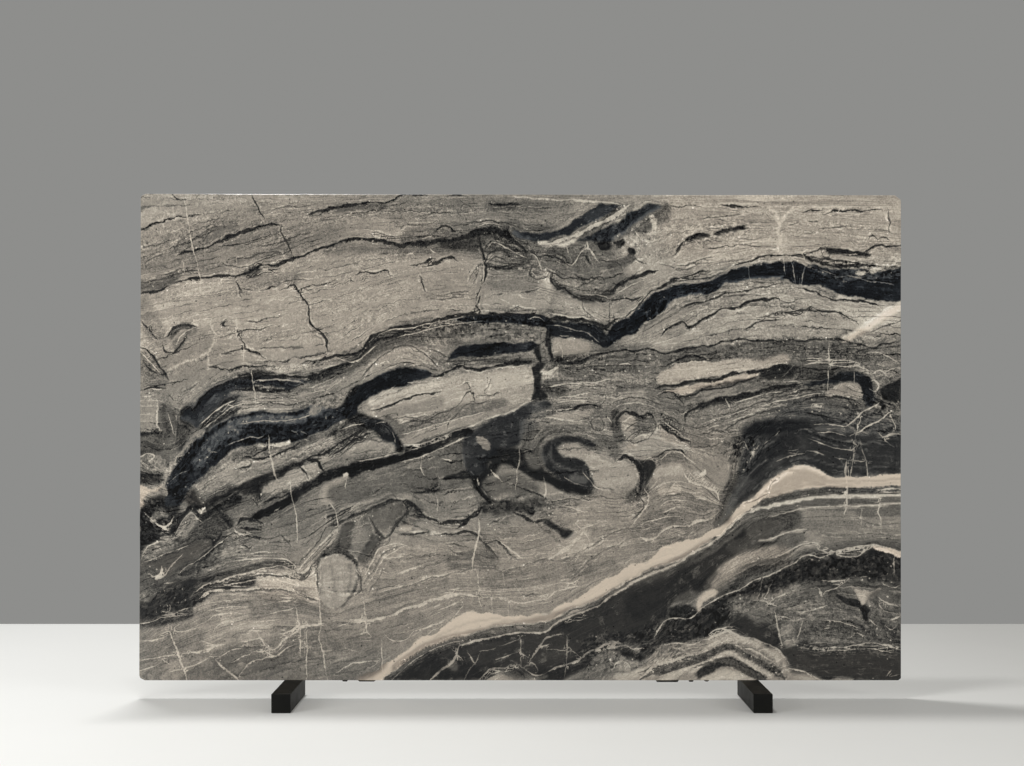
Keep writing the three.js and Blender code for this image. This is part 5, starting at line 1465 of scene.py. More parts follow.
# Strokes of a soft brush over the ground and the bodies, each laid over the ones before
# it: tone, half width, softness, middle line.
GLAZES = [
    # Strokes that balance the tones of whole zones, under the finer ones.
    (0.20, 4, 6, [(208, 408), (228, 402), (250, 404)]),
    (0.34, 6, 6, [(285, 398), (305, 396)]),
    (0.30, 4, 5, [(318, 379), (335, 374), (350, 366), (362, 356), (372, 348)]),
    (0.58, 4, 4, [(215, 480), (240, 466), (270, 456), (300, 448)]),
    (0.10, 3, 4, [(298, 432), (318, 426), (334, 419)]),
    (0.15, 5, 5, [(150, 507), (162, 503), (172, 508)]),
    (0.48, 5, 8, [(141, 300), (150, 322), (160, 338)]),
    (0.50, 2, 7, [(236, 284), (262, 281), (300, 276)]),
    (0.44, 3, 8, [(330, 250), (365, 246), (395, 248), (450, 250), (478, 254)]),
    (0.40, 5, 6, [(515, 262), (530, 272)]),
    (0.60, 5, 8, [(690, 338), (740, 332), (800, 329), (822, 329)]),
    (0.58, 5, 4, [(862, 339), (880, 334), (902, 330)]),
    (0.60, 4, 4, [(824, 334), (838, 331)]),
    (0.80, 1.6, 3, [(845, 339), (858, 331), (871, 323)]),
    (0.86, 2.5, 4, [(866, 326), (885, 314), (902, 306)]),
    (0.36, 4, 5, [(750, 352), (800, 358), (840, 358)]),
    (0.58, 5, 8, [(380, 318), (430, 308), (480, 303), (520, 303)]),
    (0.60, 5, 6, [(350, 345), (368, 330), (385, 322)]),
    (0.60, 4, 6, [(560, 302), (590, 312), (612, 316)]),
    (0.60, 3, 4, [(640, 296), (660, 280), (690, 273)]),
    (0.52, 6, 6, [(205, 392), (225, 378), (255, 371), (285, 371)]),
    (0.36, 8, 8, [(372, 520), (395, 516), (410, 512)]),
    (0.34, 6, 6, [(490, 488), (510, 484), (530, 488)]),
    (0.32, 5, 6, [(335, 494), (350, 488)]),
    (0.56, 6, 6, [(395, 560), (425, 554), (450, 552)]),
    (0.34, 2, 3, [(736, 462), (730, 484), (724, 502)]),
    (0.38, 5, 7, [(640, 228), (652, 220), (664, 212)]),
    (0.62, 7, 4, [(648, 250), (665, 248)]),
    (0.42, 1.2, 1.5, [(674, 307), (690, 302), (706, 299)]),
    (0.50, 5, 6, [(795, 512), (820, 508), (850, 508)]),
    (0.42, 4, 4, [(835, 505), (868, 503), (902, 502)]),
    (0.12, 8, 8, [(558, 668), (575, 660), (592, 655)]),
    (0.27, 3, 4, [(802, 358), (820, 357), (845, 358)]),
    (0.28, 5, 6, [(318, 446), (332, 437), (348, 428), (362, 425)]),
    (0.22, 4, 5, [(208, 425), (222, 414), (238, 408)]),
    (0.24, 8, 2.5, [(140, 445), (162, 445)]),
    (0.24, 2.5, 3, [(238, 571), (255, 567), (275, 564), (292, 566)]),
    (0.60, 3, 4, [(658, 346), (680, 342), (705, 342), (740, 338)]),
    (0.62, 2, 3, [(768, 361), (788, 358)]),
    (0.48, 5, 5, [(862, 346), (880, 352)]),
    (0.46, 3, 4, [(314, 412), (326, 403), (336, 396)]),
    (0.52, 4, 5, [(176, 406), (188, 396), (203, 386)]),
    (0.60, 3, 4, [(235, 481), (255, 472), (272, 466)]),
    (0.60, 5, 6, [(538, 306), (545, 292), (548, 280)]),
    (0.24, 5, 4, [(190, 412), (184, 428), (178, 444)]),
    (0.38, 5, 5, [(862, 510), (902, 509)]),
    (0.66, 2.5, 2, [(768, 493), (782, 488), (800, 485)]),
    (0.12, 5, 5, [(160, 528), (175, 520)]),
    (0.14, 6, 5, [(148, 572), (168, 566)]),
    (0.14, 4, 3, [(215, 512), (236, 500)]),
    (0.40, 2.5, 3, [(378, 597), (400, 591), (425, 584), (445, 580)]),
    (0.42, 6, 6, [(455, 563), (475, 560), (490, 562)]),
    (0.14, 4, 4, [(646, 650), (650, 640)]),
    (0.42, 4, 5, [(575, 576), (595, 570), (612, 566)]),
    (0.42, 7, 6, [(335, 446), (360, 442), (385, 446)]),
    (0.10, 2.5, 1.5, [(408, 450), (425, 445), (440, 440), (458, 434)]),
    (0.50, 2.5, 3, [(228, 376), (245, 371), (265, 370), (285, 372)]),
    (0.17, 4, 4, [(141, 478), (158, 478)]),
    (0.30, 3, 4, [(738, 440), (734, 460)]),
    # Strokes of the upper part.
    (0.44, 4, 4, [(175, 250), (200, 240), (222, 229), (232, 225)]),
    (0.47, 8, 8, [(150, 264), (200, 262), (250, 248), (300, 238), (335, 230)]),
    (0.35, 3, 5, [(140, 286), (160, 284), (175, 277)]),
    (0.30, 3, 3, [(248, 274), (258, 271)]),
    (0.30, 2, 2, [(172, 336), (179, 327), (190, 325)]),
    (0.45, 3, 3, [(177, 345), (185, 336), (193, 330)]),
    (0.38, 3, 4, [(405, 236), (430, 234), (450, 235), (470, 231)]),
    (0.40, 2, 4, [(400, 250), (430, 247), (460, 248)]),
    (0.33, 10, 6, [(480, 240), (500, 236), (520, 250)]),
    (0.48, 5, 4, [(495, 260), (512, 261)]),
    (0.33, 3, 6, [(385, 344), (400, 340), (420, 337), (440, 333), (470, 329)]),
    (0.38, 2, 3, [(338, 209), (360, 207), (385, 207)]),
    (0.40, 3, 3, [(488, 205), (520, 206), (545, 208)]),
    (0.43, 3.5, 2, [(575, 236), (590, 227), (604, 220), (616, 213), (630, 206)]),
    (0.30, 0.6, 1, [(580, 237), (594, 229), (608, 222), (620, 214)]),
    (0.80, 1.6, 1.2, [(541, 243), (552, 246), (564, 245), (574, 240)]),
    (0.22, 4, 3, [(445, 243), (458, 246), (472, 247)]),
    (0.18, 4, 3, [(470, 237), (485, 232), (498, 233), (508, 240)]),
    (0.22, 1, 1, [(487, 246), (498, 243), (512, 248), (524, 254), (532, 258)]),
    (0.25, 1, 1, [(488, 252), (500, 250), (512, 256), (524, 261)]),
    (0.25, 1, 1, [(486, 265), (500, 268), (515, 266), (530, 262)]),
    (0.42, 3.5, 1.5, [(545, 338), (545, 348), (546, 358)]),
    (0.20, 3, 3, [(588, 217), (600, 212), (615, 208)]),
    (0.40, 2, 2, [(616, 238), (630, 230), (640, 225)]),
    (0.32, 3, 3, [(553, 250), (562, 252)]),
    (0.40, 4, 3, [(604, 264), (620, 266)]),
    (0.42, 6, 5, [(585, 285), (600, 285), (610, 280)]),
    (0.20, 2.5, 2, [(576, 296), (588, 298), (600, 297), (612, 292)]),
    (0.24, 2, 2, [(548, 276), (558, 286), (570, 292)]),
    (0.30, 3, 3, [(612, 268), (622, 262), (632, 258)]),
    (0.70, 1.6, 2.5, [(547, 275), (548, 287)]),
    (0.62, 3, 4, [(672, 306), (685, 301), (700, 299)]),
    (0.46, 2, 3, [(725, 287), (745, 283), (760, 281), (780, 280)]),
    (0.62, 3, 3, [(885, 262), (902, 261)]),
    (0.55, 3, 3, [(822, 292), (832, 295)]),
    (0.28, 1.2, 2, [(688, 239), (698, 237), (708, 235)]),
    (0.22, 1.2, 1.5, [(716, 234), (728, 231), (743, 227)]),
    (0.07, 1.8, 1, [(828, 250), (840, 252), (855, 254), (868, 255)]),
    (0.78, 1.6, 1.2, [(652, 217), (654, 223), (655, 229)]),
    # white cracks
    (0.78, 1, 0.8, [(768, 207), (774, 213), (779, 222)]),
    (0.78, 1, 0.8, [(792, 209), (785, 215), (780, 222)]),
    (0.80, 0.5, 0.9, [(780, 221), (778, 232), (781, 240), (778, 247), (782, 256)]),
    (0.70, 0.6, 0.8, [(781, 232), (786, 240), (782, 247)]),
    (0.68, 0.7, 0.8, [(838, 207), (839, 220)]),
    (0.70, 0.7, 0.8, [(884, 212), (887, 221), (890, 230)]),
    (0.70, 0.6, 0.8, [(693, 206), (740, 206), (800, 206), (862, 207)]),
    (0.68, 0.6, 0.7, [(206, 318), (215, 334), (210, 350), (207, 368)]),
    (0.68, 0.6, 0.7, [(235, 318), (237, 332), (244, 346), (244, 368)]),
    (0.68, 0.6, 0.7, [(168, 370), (180, 364), (196, 358), (210, 351)]),
    # Strokes of the middle.
    # the left, under the belt
    (0.36, 6, 4, [(168, 412), (170, 430), (168, 448), (172, 458)]),
    (0.28, 1.5, 2, [(163, 405), (164, 420), (168, 432)]),
    (0.55, 8, 2, [(148, 404), (148, 424)]),
    (0.30, 7, 2, [(141, 441), (160, 441)]),
    (0.12, 1, 1, [(140, 433), (150, 433), (160, 434)]),
    (0.42, 7, 4, [(142, 362), (150, 370), (160, 380)]),
    (0.10, 2.5, 2, [
        (183, 413), (190, 412), (196, 416), (201, 402), (212, 393), (228, 386), (244, 381), (262, 380),
        (290, 384)]),
    (0.12, 1, 1, [(240, 389), (252, 388), (268, 391), (290, 390)]),
    (0.20, 1.5, 2, [(240, 377), (255, 374), (268, 375), (285, 378)]),
    (0.46, 6, 4, [(245, 402), (270, 400), (300, 400), (318, 398)]),
    (0.66, 1.2, 1, [(238, 412), (245, 409), (255, 410), (262, 408), (275, 410), (290, 407)]),
    (0.28, 3, 3, [(312, 377), (338, 371)]),
    (0.32, 3, 3, [(232, 424), (250, 420), (270, 419), (290, 420), (302, 418)]),
    (0.26, 4, 4, [(198, 462), (206, 450), (215, 440), (228, 432), (240, 428)]),
    (0.62, 3, 3, [(280, 370), (296, 368)]),
    (0.42, 3, 1, [(297, 374), (299, 379)]),
    (0.42, 4, 3, [(236, 456), (250, 452), (275, 452), (300, 446), (320, 438)]),
    (0.60, 4, 3, [(225, 477), (245, 466), (270, 460), (300, 453), (330, 441)]),
    # the pale block and what lies round it
    (0.43, 5, 4, [(402, 431), (420, 424), (440, 418), (460, 412), (480, 408), (500, 405)]),
    (0.56, 2.5, 2, [(405, 443), (425, 436), (450, 427), (480, 418), (510, 409), (526, 402)]),
    (0.52, 3, 4, [(380, 414), (395, 412), (420, 408), (440, 402)]),
    (0.70, 2.5, 3, [(372, 402), (390, 394), (415, 389), (440, 381)]),
    (0.68, 5, 5, [(480, 384), (520, 376)]),
    (0.36, 8, 5, [(400, 478), (430, 470), (455, 462)]),
    (0.08, 5, 3, [(352, 417), (366, 422), (379, 428), (389, 436), (397, 446)]),
    (0.36, 3, 3, [(388, 419), (396, 425), (402, 434)]),
    (0.06, 6, 3, [(345, 412), (352, 402), (360, 392)]),
    (0.55, 4, 3, [(350, 452), (370, 446), (390, 448)]),
    (0.55, 6, 5, [(378, 366), (395, 358), (415, 356), (425, 362)]),
    (0.42, 2.5, 2, [(455, 362), (480, 362), (505, 360), (528, 358)]),
    (0.14, 1, 1, [(505, 364), (518, 362), (530, 362)]),
    (0.10, 6, 6, [(490, 466), (500, 456), (520, 458), (535, 468)]),
    # More strokes of the middle.
    # right of the pale block
    (0.33, 8, 5, [(560, 364), (590, 366), (615, 366), (635, 362)]),
    (0.75, 1.6, 1, [(542, 372), (548, 374), (556, 369)]),
    (0.70, 0.8, 0.8, [(545, 378), (552, 376), (558, 373)]),
    (0.28, 5, 4, [(548, 386), (560, 388)]),
    (0.33, 7, 5, [(529, 428), (531, 445), (536, 460)]),
    (0.38, 4, 4, [(536, 442), (545, 430), (565, 427), (590, 430), (606, 440), (616, 452)]),
    (0.30, 0.8, 1, [(538, 448), (544, 437), (556, 431), (575, 430), (594, 434), (606, 444)]),
    (0.50, 0.6, 0.8, [(536, 436), (548, 425), (570, 422), (596, 426), (612, 434)]),
    (0.28, 0.8, 1, [(552, 446), (551, 458), (558, 466), (572, 470), (586, 472)]),
    (0.18, 3, 3, [(484, 508), (500, 505), (518, 506), (530, 510)]),
    (0.30, 2.5, 3, [(572, 478), (584, 480)]),
    (0.47, 5, 4, [(612, 378), (640, 378)]),
    (0.36, 1.5, 2, [(618, 391), (628, 388), (640, 387)]),
    (0.56, 2.5, 3, [(616, 398), (628, 396), (640, 393)]),
    (0.26, 3, 4, [(616, 414), (616, 428), (620, 438)]),
    (0.40, 4, 4, [(640, 428), (650, 424)]),
    (0.27, 1.5, 1.5, [
        (684, 399), (692, 395), (700, 391), (712, 387), (728, 384), (748, 381), (762, 378)]),
    (0.24, 2.5, 2, [(700, 406), (712, 403), (725, 400), (748, 396)]),
    (0.50, 3, 1.5, [(714, 409), (726, 408)]),
    (0.45, 8, 5, [(700, 428), (725, 422), (740, 416)]),
    (0.40, 4, 2, [(665, 458), (683, 457)]),
    # the right
    (0.42, 3, 3, [(742, 391), (765, 386), (790, 383)]),
    (0.33, 6, 5, [(790, 408), (820, 410), (845, 412)]),
    (0.10, 4, 4, [(748, 440), (756, 430), (772, 427), (790, 426), (806, 429)]),
    (0.30, 2, 2, [(818, 428), (835, 428), (846, 431)]),
    (0.14, 4, 4, [(862, 442), (880, 446), (900, 448)]),
    (0.33, 5, 6, [(722, 516), (727, 502), (734, 488)]),
    (0.25, 6, 6, [(738, 488), (748, 476), (760, 464), (775, 458)]),
    (0.13, 6, 5, [(752, 470), (770, 452), (790, 442)]),
    (0.30, 0.6, 0.8, [(745, 470), (752, 458), (762, 448), (775, 440)]),
    (0.30, 0.6, 0.8, [(732, 500), (742, 484), (754, 470), (768, 460)]),
    (0.28, 0.6, 0.8, [(800, 428), (815, 433), (835, 440), (855, 443), (880, 442)]),
    (0.28, 0.6, 0.8, [(790, 460), (810, 458), (830, 464), (860, 467), (890, 467)]),
    (0.66, 4, 3, [(778, 489), (792, 480), (806, 476), (822, 481)]),
    (0.85, 1, 1, [(760, 494), (772, 484), (785, 475), (800, 468), (812, 469), (825, 475)]),
    (0.27, 9, 7, [(852, 412), (870, 420), (890, 424)]),
    (0.45, 8, 6, [(872, 362), (890, 370)]),
    (0.33, 4, 4, [(795, 352), (830, 352), (862, 354)]),
    (0.26, 4, 4, [(800, 371), (815, 372), (828, 372)]),
    # Strokes of the lower part.
    # the left
    (0.27, 18, 10, [(160, 568), (185, 552), (205, 545)]),
    (0.42, 5, 3, [(148, 553), (158, 549), (168, 545)]),
    (0.48, 5, 3, [(183, 532), (189, 522), (194, 516)]),
    (0.24, 6, 2.5, [(206, 521), (214, 517), (226, 521)]),
    (0.44, 10, 8, [(235, 552), (265, 536), (298, 524)]),
    (0.54, 1.5, 2.5, [(208, 592), (222, 587), (240, 584)]),
    (0.60, 2.5, 2.5, [(236, 584), (252, 581), (268, 580)]),
    (0.66, 4, 3, [(264, 582), (285, 581), (310, 585)]),
    (0.62, 0.8, 1, [(322, 566), (324, 580), (328, 596), (334, 604)]),
    (0.22, 0.8, 1, [(319, 560), (317, 572), (318, 584), (320, 596)]),
    (0.30, 0.8, 1, [(357, 566), (359, 578), (355, 590), (349, 598), (342, 606)]),
    (0.10, 1.0, 1, [(324, 555), (332, 552), (342, 553), (352, 558), (357, 564)]),
    (0.60, 1, 1.2, [(340, 570), (342, 584), (340, 598)]),
    (0.47, 1, 1.2, [(331, 562), (333, 578), (336, 594)]),
    (0.45, 1, 1.2, [(350, 566), (352, 578), (349, 590)]),
    (0.64, 5, 3, [(313, 568), (313, 585), (314, 598)]),
    # the middle
    (0.56, 2, 2, [(352, 508), (362, 502), (375, 497), (388, 493), (400, 493), (408, 498)]),
    (0.35, 8, 6, [(352, 492), (385, 484), (430, 482)]),
    (0.28, 4, 3, [(347, 528), (346, 540), (344, 549)]),
    (0.28, 4, 3, [(377, 538), (372, 550), (364, 557)]),
    (0.60, 5, 2.5, [(553, 556), (566, 547), (579, 536), (585, 534)]),
    (0.60, 4, 3, [(577, 553), (588, 545)]),
    (0.55, 6, 4, [(632, 520), (640, 510), (642, 504)]),
    (0.30, 4, 3, [(631, 497), (643, 491)]),
    (0.55, 5, 4, [(668, 530), (690, 530)]),
    (0.52, 6, 5, [(712, 500), (708, 514), (700, 524)]),
    (0.28, 2, 2, [
        (590, 610), (600, 608), (620, 596), (640, 585), (660, 577), (680, 569), (700, 558), (720, 545),
        (740, 528)]),
    # the right
    (0.66, 0.6, 0.8, [
        (765, 492), (780, 485), (800, 481), (825, 480), (850, 482), (880, 480), (902, 479)]),
    (0.68, 0.5, 0.8, [(758, 498), (775, 490), (795, 486), (820, 484), (850, 485)]),
    (0.66, 0.6, 0.8, [(790, 470), (805, 474), (820, 479), (840, 482)]),
    (0.70, 0.6, 0.8, [(415, 648), (430, 642), (450, 630), (480, 620), (520, 619), (555, 612)]),
    (0.27, 2.4, 2, [
        (764, 503), (780, 499), (795, 494), (825, 491), (850, 491), (875, 491), (902, 490)]),
    (0.34, 3.5, 2.5, [(760, 514), (785, 509), (810, 503), (850, 501), (902, 500)]),
    (0.82, 1.1, 0.8, [
        (752, 510), (765, 507), (780, 505), (795, 501), (810, 498), (825, 497), (850, 496), (875, 496),
        (902, 495)]),
    (0.66, 0.7, 0.8, [
        (770, 516), (785, 512), (800, 509), (820, 507), (850, 506), (875, 505), (902, 504)]),
    (0.52, 5, 4, [(742, 557), (770, 551), (795, 544), (812, 541)]),
    (0.20, 3, 1.5, [
        (733, 588), (742, 578), (753, 570), (764, 569), (778, 568), (790, 563), (797, 561)]),
    (0.58, 3, 3, [(722, 570), (738, 560)]),
    (0.30, 6, 4, [(815, 594), (828, 592)]),
    # Strokes along the foot.
    # the lower left
    (0.17, 4, 4, [(196, 600), (203, 592), (215, 587), (230, 585), (250, 581)]),
    (0.22, 3, 4, [(140, 625), (155, 622), (170, 619), (190, 613)]),
    (0.48, 6, 8, [(203, 614), (225, 606), (250, 603), (280, 607), (305, 612)]),
    (0.58, 8, 7, [(215, 640), (240, 632), (262, 630)]),
    (0.42, 8, 8, [(255, 662), (290, 655), (330, 650)]),
    (0.40, 8, 8, [(340, 672), (360, 668), (375, 660)]),
    (0.60, 4, 4, [(225, 617), (245, 612)]),
    (0.40, 4, 4, [(208, 674), (230, 660), (245, 654)]),
    # the dark body
    (0.60, 2, 3, [
        (395, 667), (420, 650), (445, 640), (480, 631), (520, 624), (560, 614), (600, 599), (640, 577),
        (680, 559), (710, 541)]),
    (0.20, 12, 14, [(520, 660), (535, 650), (560, 648)]),
    (0.19, 10, 12, [(480, 650), (500, 650)]),
    (0.16, 14, 14, [(590, 634), (612, 618), (640, 606)]),
    (0.20, 4, 5, [(620, 604), (640, 592), (660, 583)]),
    (0.12, 10, 11, [(640, 606), (668, 594), (690, 580)]),
    (0.30, 2.5, 3, [(452, 664), (455, 667)]),
    # round the hump
    (0.10, 6, 3, [(676, 614), (684, 611), (691, 615)]),
    (0.28, 3, 5, [(678, 602), (690, 595)]),
    (0.48, 0.8, 1, [(672, 606), (680, 603), (690, 604), (696, 608)]),
    (0.11, 8, 6, [(672, 634), (690, 630), (705, 622), (718, 615)]),
    (0.40, 8, 6, [(575, 674), (595, 666), (612, 660)]),
    (0.60, 4, 2, [(619, 666), (625, 666)]),
    (0.66, 3, 2, [(618, 677), (630, 676), (645, 671)]),
    (0.50, 5, 4, [(665, 650), (685, 650), (700, 646)]),
    (0.72, 3, 2, [(656, 667), (664, 663), (675, 662)]),
    (0.24, 2.5, 1.5, [
        (658, 672), (675, 667), (690, 664), (704, 658), (716, 650), (728, 647), (740, 652), (755, 660),
        (768, 666), (778, 674)]),
    (0.70, 2.5, 1.5, [
        (660, 680), (676, 673), (692, 669), (708, 663), (720, 656), (732, 654), (745, 661), (758, 669),
        (768, 677)]),
    (0.17, 3.5, 1.5, [
        (700, 674), (710, 668), (720, 662), (730, 661), (740, 665), (752, 672), (762, 679)]),
    (0.74, 4, 2, [(706, 681), (716, 676), (728, 674), (742, 677), (752, 681)]),
    (0.64, 4, 3, [(712, 641), (728, 637), (745, 643), (762, 649), (776, 658)]),
    (0.46, 3, 2, [(740, 646), (755, 651), (768, 659)]),
    (0.66, 3, 2, [(790, 672), (802, 675), (812, 679)]),
    # the lower right
    (0.38, 5, 4, [(755, 616), (768, 615)]),
    (0.15, 6, 5, [(742, 626), (760, 632), (772, 640)]),
    (0.42, 5, 6, [(740, 604), (760, 603), (778, 599), (795, 591)]),
    (0.48, 6, 3, [(788, 632), (791, 640)]),
    (0.36, 7, 6, [(800, 603), (815, 600), (828, 604)]),
    (0.30, 6, 8, [(805, 632), (840, 638), (880, 632)]),
    (0.38, 8, 6, [(878, 600), (892, 608)]),
    (0.70, 1.5, 1, [(832, 680), (840, 678), (850, 680)]),
    (0.20, 8, 8, [(800, 662), (850, 666), (895, 664)]),
    (0.12, 5, 4, [(556, 674), (570, 668), (584, 660)]),
    (0.16, 5, 4, [(700, 572), (712, 563), (724, 555), (735, 548)]),
    (0.24, 5, 5, [(735, 547), (750, 543), (765, 540), (778, 536)]),
    (0.28, 6, 7, [(755, 528), (775, 525), (792, 518)]),
    (0.36, 4, 8, [(785, 544), (798, 536)]),
    (0.60, 1, 1, [(760, 541), (772, 539), (785, 532), (802, 530)]),
]


# ---------------------------------------------------------------------------
# Fields over the slab's face, worked out from the curves. All lengths are in pixels.
# ---------------------------------------------------------------------------

CELL = 2.05  # between two vertices of the polished face
REACH = 14.0  # no field looks further than this from a curve
TAPER = 7.0  # a stroke thins over this length at its two ends
TIP = 0.4  # and keeps this share of its width there
CURVE_STEPS = 3  # straight pieces between two traced points
SHAKE_WAVE = 13  # a traced line is shaken by bumps of this length
SHAKE_RIPPLE = 6  # and by smaller ones
RIPPLE_HEIGHT = 0.8  # beside the larger ones' 1
SHAKE_SEEDS = (11, 23)  # across and down
SHAKE_BY = {"dark": 1.3, "pale": 0.8, "glaze": 0.9, "vein": 0.5}  # how far it is moved
MIDDLE_DEPTH = 400.0  # the depth in the bed that the spreading starts from
BEDDING_PASSES = ((16, 300), (8, 200), (4, 150), (2, 120))  # vertices in a step, rounds


def smooth_curve(points, closed=False):
    """A Catmull-Rom curve through the points, which may hold more numbers than x and y."""
    p = np.array(points, float)
    n = len(p)
    if n < 3:
        return p
    pieces = []
    for i in range(n if closed else n - 1):
        if closed:
            a, b, c, d = p[i - 1], p[i], p[(i + 1) % n], p[(i + 2) % n]
        else:
            a, b, c, d = p[max(i - 1, 0)], p[i], p[i + 1], p[min(i + 2, n - 1)]
        t = np.arange(CURVE_STEPS)[:, None] / CURVE_STEPS
        pieces.append(0.5 * (2 * b + (c - a) * t + (2 * a - 5 * b + 4 * c - d) * t**2
                             + (3 * b - a - 3 * c + d) * t**3))
    pieces.append(p[:1] if closed else p[-1:])
    return np.concatenate(pieces)


def stroke_curve(width, points):
    """A smooth curve that holds its width as third number and thins at its two ends."""
    curve = smooth_curve([(*p[:2], p[2] if len(p) > 2 else width) for p in points])
    spans = np.hypot(*np.diff(curve[:, :2], axis=0).T)
    run = np.concatenate([[0], np.cumsum(spans)])
    to_end = np.minimum(run, run[-1] - run)
    curve[:, 2] *= TIP + (1 - TIP) * np.minimum(to_end / TAPER, 1)
    return curve


def bumps(px, py, length, seed):
    """Smooth noise from -1 to 1 with bumps of this length."""
    knots = np.random.default_rng(seed).uniform(
        -1, 1, (int(IMAGE_HEIGHT / length) + 3, int(IMAGE_WIDTH / length) + 3))
    column, across = np.divmod(px / length, 1)
    row, down = np.divmod(py / length, 1)
    column, row = column.astype(int), row.astype(int)
    across = across**2 * (3 - 2 * across)
    down = down**2 * (3 - 2 * down)
    upper = knots[row, column] * (1 - across) + knots[row, column + 1] * across
    lower = knots[row + 1, column] * (1 - across) + knots[row + 1, column + 1] * across
    return upper * (1 - down) + lower * down


def shaken(px, py, amount):
    """The same places, moved a little, so that a traced line comes out ragged."""
    moved = []
    for places, seed in zip((px, py), SHAKE_SEEDS):
        wave = bumps(px, py, SHAKE_WAVE, seed)
        shift = wave + RIPPLE_HEIGHT * bumps(px, py, SHAKE_RIPPLE, seed + 1)
        moved.append(places + amount * shift)
    return moved


def near(px, py, curve, reach):
    """Which vertices lie within reach of the curve's box."""
    low = curve[:, :2].min(0) - reach
    high = curve[:, :2].max(0) + reach
    return np.nonzero((px > low[0]) & (px < high[0]) & (py > low[1]) & (py < high[1]))[0]


def to_curve(px, py, curve):
    """Distance to the curve, the side of it, and the third number of its nearest point."""
    best = np.full(len(px), np.inf)
    side = np.ones(len(px))
    third = np.zeros(len(px))
    for a, b in zip(curve[:-1], curve[1:]):
        along = b[:2] - a[:2]
        length = along @ along
        if length == 0:
            continue
        dx = px - a[0]
        dy = py - a[1]
        t = np.clip((dx * along[0] + dy * along[1]) / length, 0, 1)
        away = np.hypot(dx - t * along[0], dy - t * along[1])
        closer = away < best
        best[closer] = away[closer]
        side[closer] = np.where(dx * along[1] < dy * along[0], -1, 1)[closer]
        if len(a) > 2:
            third[closer] = (a[2] + t * (b[2] - a[2]))[closer]
    return best, side, third


def inside(px, py, loop):
    """Even-odd test against a closed loop."""
    crossed = np.zeros(len(px), bool)
    for a, b in zip(loop[:-1], loop[1:]):
        if a[1] == b[1]:
            continue
        between = (a[1] > py) != (b[1] > py)
        at = a[0] + (py - a[1]) / (b[1] - a[1]) * (b[0] - a[0])
        crossed ^= between & (px < at)
    return crossed


def field_of_bodies(px, py, bodies):
    """Signed distance to the edge of the bodies, positive inside, and the nearest one's values."""
    edge = np.full(len(px), -REACH)
    values = np.tile(np.array(bodies[0][:-1], float), (len(px), 1))
    for body in bodies:
        loop = smooth_curve(body[-1], closed=True)
        at = near(px, py, loop, REACH)
        away, _, _ = to_curve(px[at], py[at], loop)
        signed = np.where(inside(px[at], py[at], loop), away, -away)
        closer = signed > edge[at]
        edge[at[closer]] = signed[closer]
        values[at[closer]] = body[:-1]
    return np.clip(edge, -REACH, REACH), values


def field_of_strokes(px, py, strokes):
    """Signed and unsigned distance to the nearest stroke, and half of its width there."""
    side = np.full(len(px), REACH)
    reach = np.full(len(px), REACH)
    half = np.zeros(len(px))
    for stroke in strokes:
        curve = stroke_curve(*stroke)
        at = near(px, py, curve, REACH)
        away, sign, width = to_curve(px[at], py[at], curve)
        closer = away - width / 2 < reach[at] - half[at]
        side[at[closer]] = (away * sign)[closer]
        reach[at[closer]] = away[closer]
        half[at[closer]] = width[closer] / 2
    return side, reach, half


def field_of_washes(px, py, start, washes):
    """Soft strokes laid one over the other on a starting value, and how far they hide it."""
    field = np.full(len(px), float(start))
    bare = np.ones(len(px))
    for value, half, softness, points in washes:
        curve = smooth_curve(points)
        at = near(px, py, curve, half + softness)
        away, _, _ = to_curve(px[at], py[at], curve)
        share = np.clip((half + softness - away) / softness, 0, 1)
        share = share * share * (3 - 2 * share)
        field[at] += share * (value - field[at])
        bare[at] *= 1 - share
    return field, 1 - bare


def relaxed(known, value, rounds):
    """Makes every unknown value of a grid the mean of its neighbours."""
    for _ in range(rounds):
        padded = np.pad(value, 1, mode="reflect", reflect_type="odd")
        mean = (padded[:-2, 1:-1] + padded[2:, 1:-1] + padded[1:-1, :-2] + padded[1:-1, 2:]) / 4
        value = np.where(known, value, mean)
    return value


def stretched(field, shape):
    """The grid resampled to another shape."""
    rows = np.linspace(0, field.shape[0] - 1, shape[0])
    columns = np.linspace(0, field.shape[1] - 1, shape[1])
    r = np.minimum(rows.astype(int), field.shape[0] - 2)
    c = np.minimum(columns.astype(int), field.shape[1] - 2)
    down = (rows - r)[:, None]
    across = (columns - c)[None, :]
    upper = field[r][:, c] * (1 - across) + field[r][:, c + 1] * across
    lower = field[r + 1][:, c] * (1 - across) + field[r + 1][:, c + 1] * across
    return upper * (1 - down) + lower * down


def field_of_bedding(px, py):
    """Depth in the bed over the face, spread from its traced lines on finer and finer grids."""
    grid_x = px.reshape(ROWS + 1, COLUMNS + 1)
    grid_y = py.reshape(ROWS + 1, COLUMNS + 1)
    field = np.full((2, 2), MIDDLE_DEPTH)
    for step, rounds in BEDDING_PASSES:
        x = grid_x[::step, ::step]
        y = grid_y[::step, ::step]
        depth = stretched(field, x.shape)
        nearest = np.full(x.shape, CELL * step / 2)
        known = np.zeros(x.shape, bool)
        for at_depth, points in BEDDING:
            away, _, _ = to_curve(x.ravel(), y.ravel(), smooth_curve(points))
            away = away.reshape(x.shape)
            closer = away < nearest
            nearest[closer] = away[closer]
            known |= closer
            depth[closer] = at_depth
        field = relaxed(known, depth, rounds)
    return stretched(field, grid_x.shape).ravel()


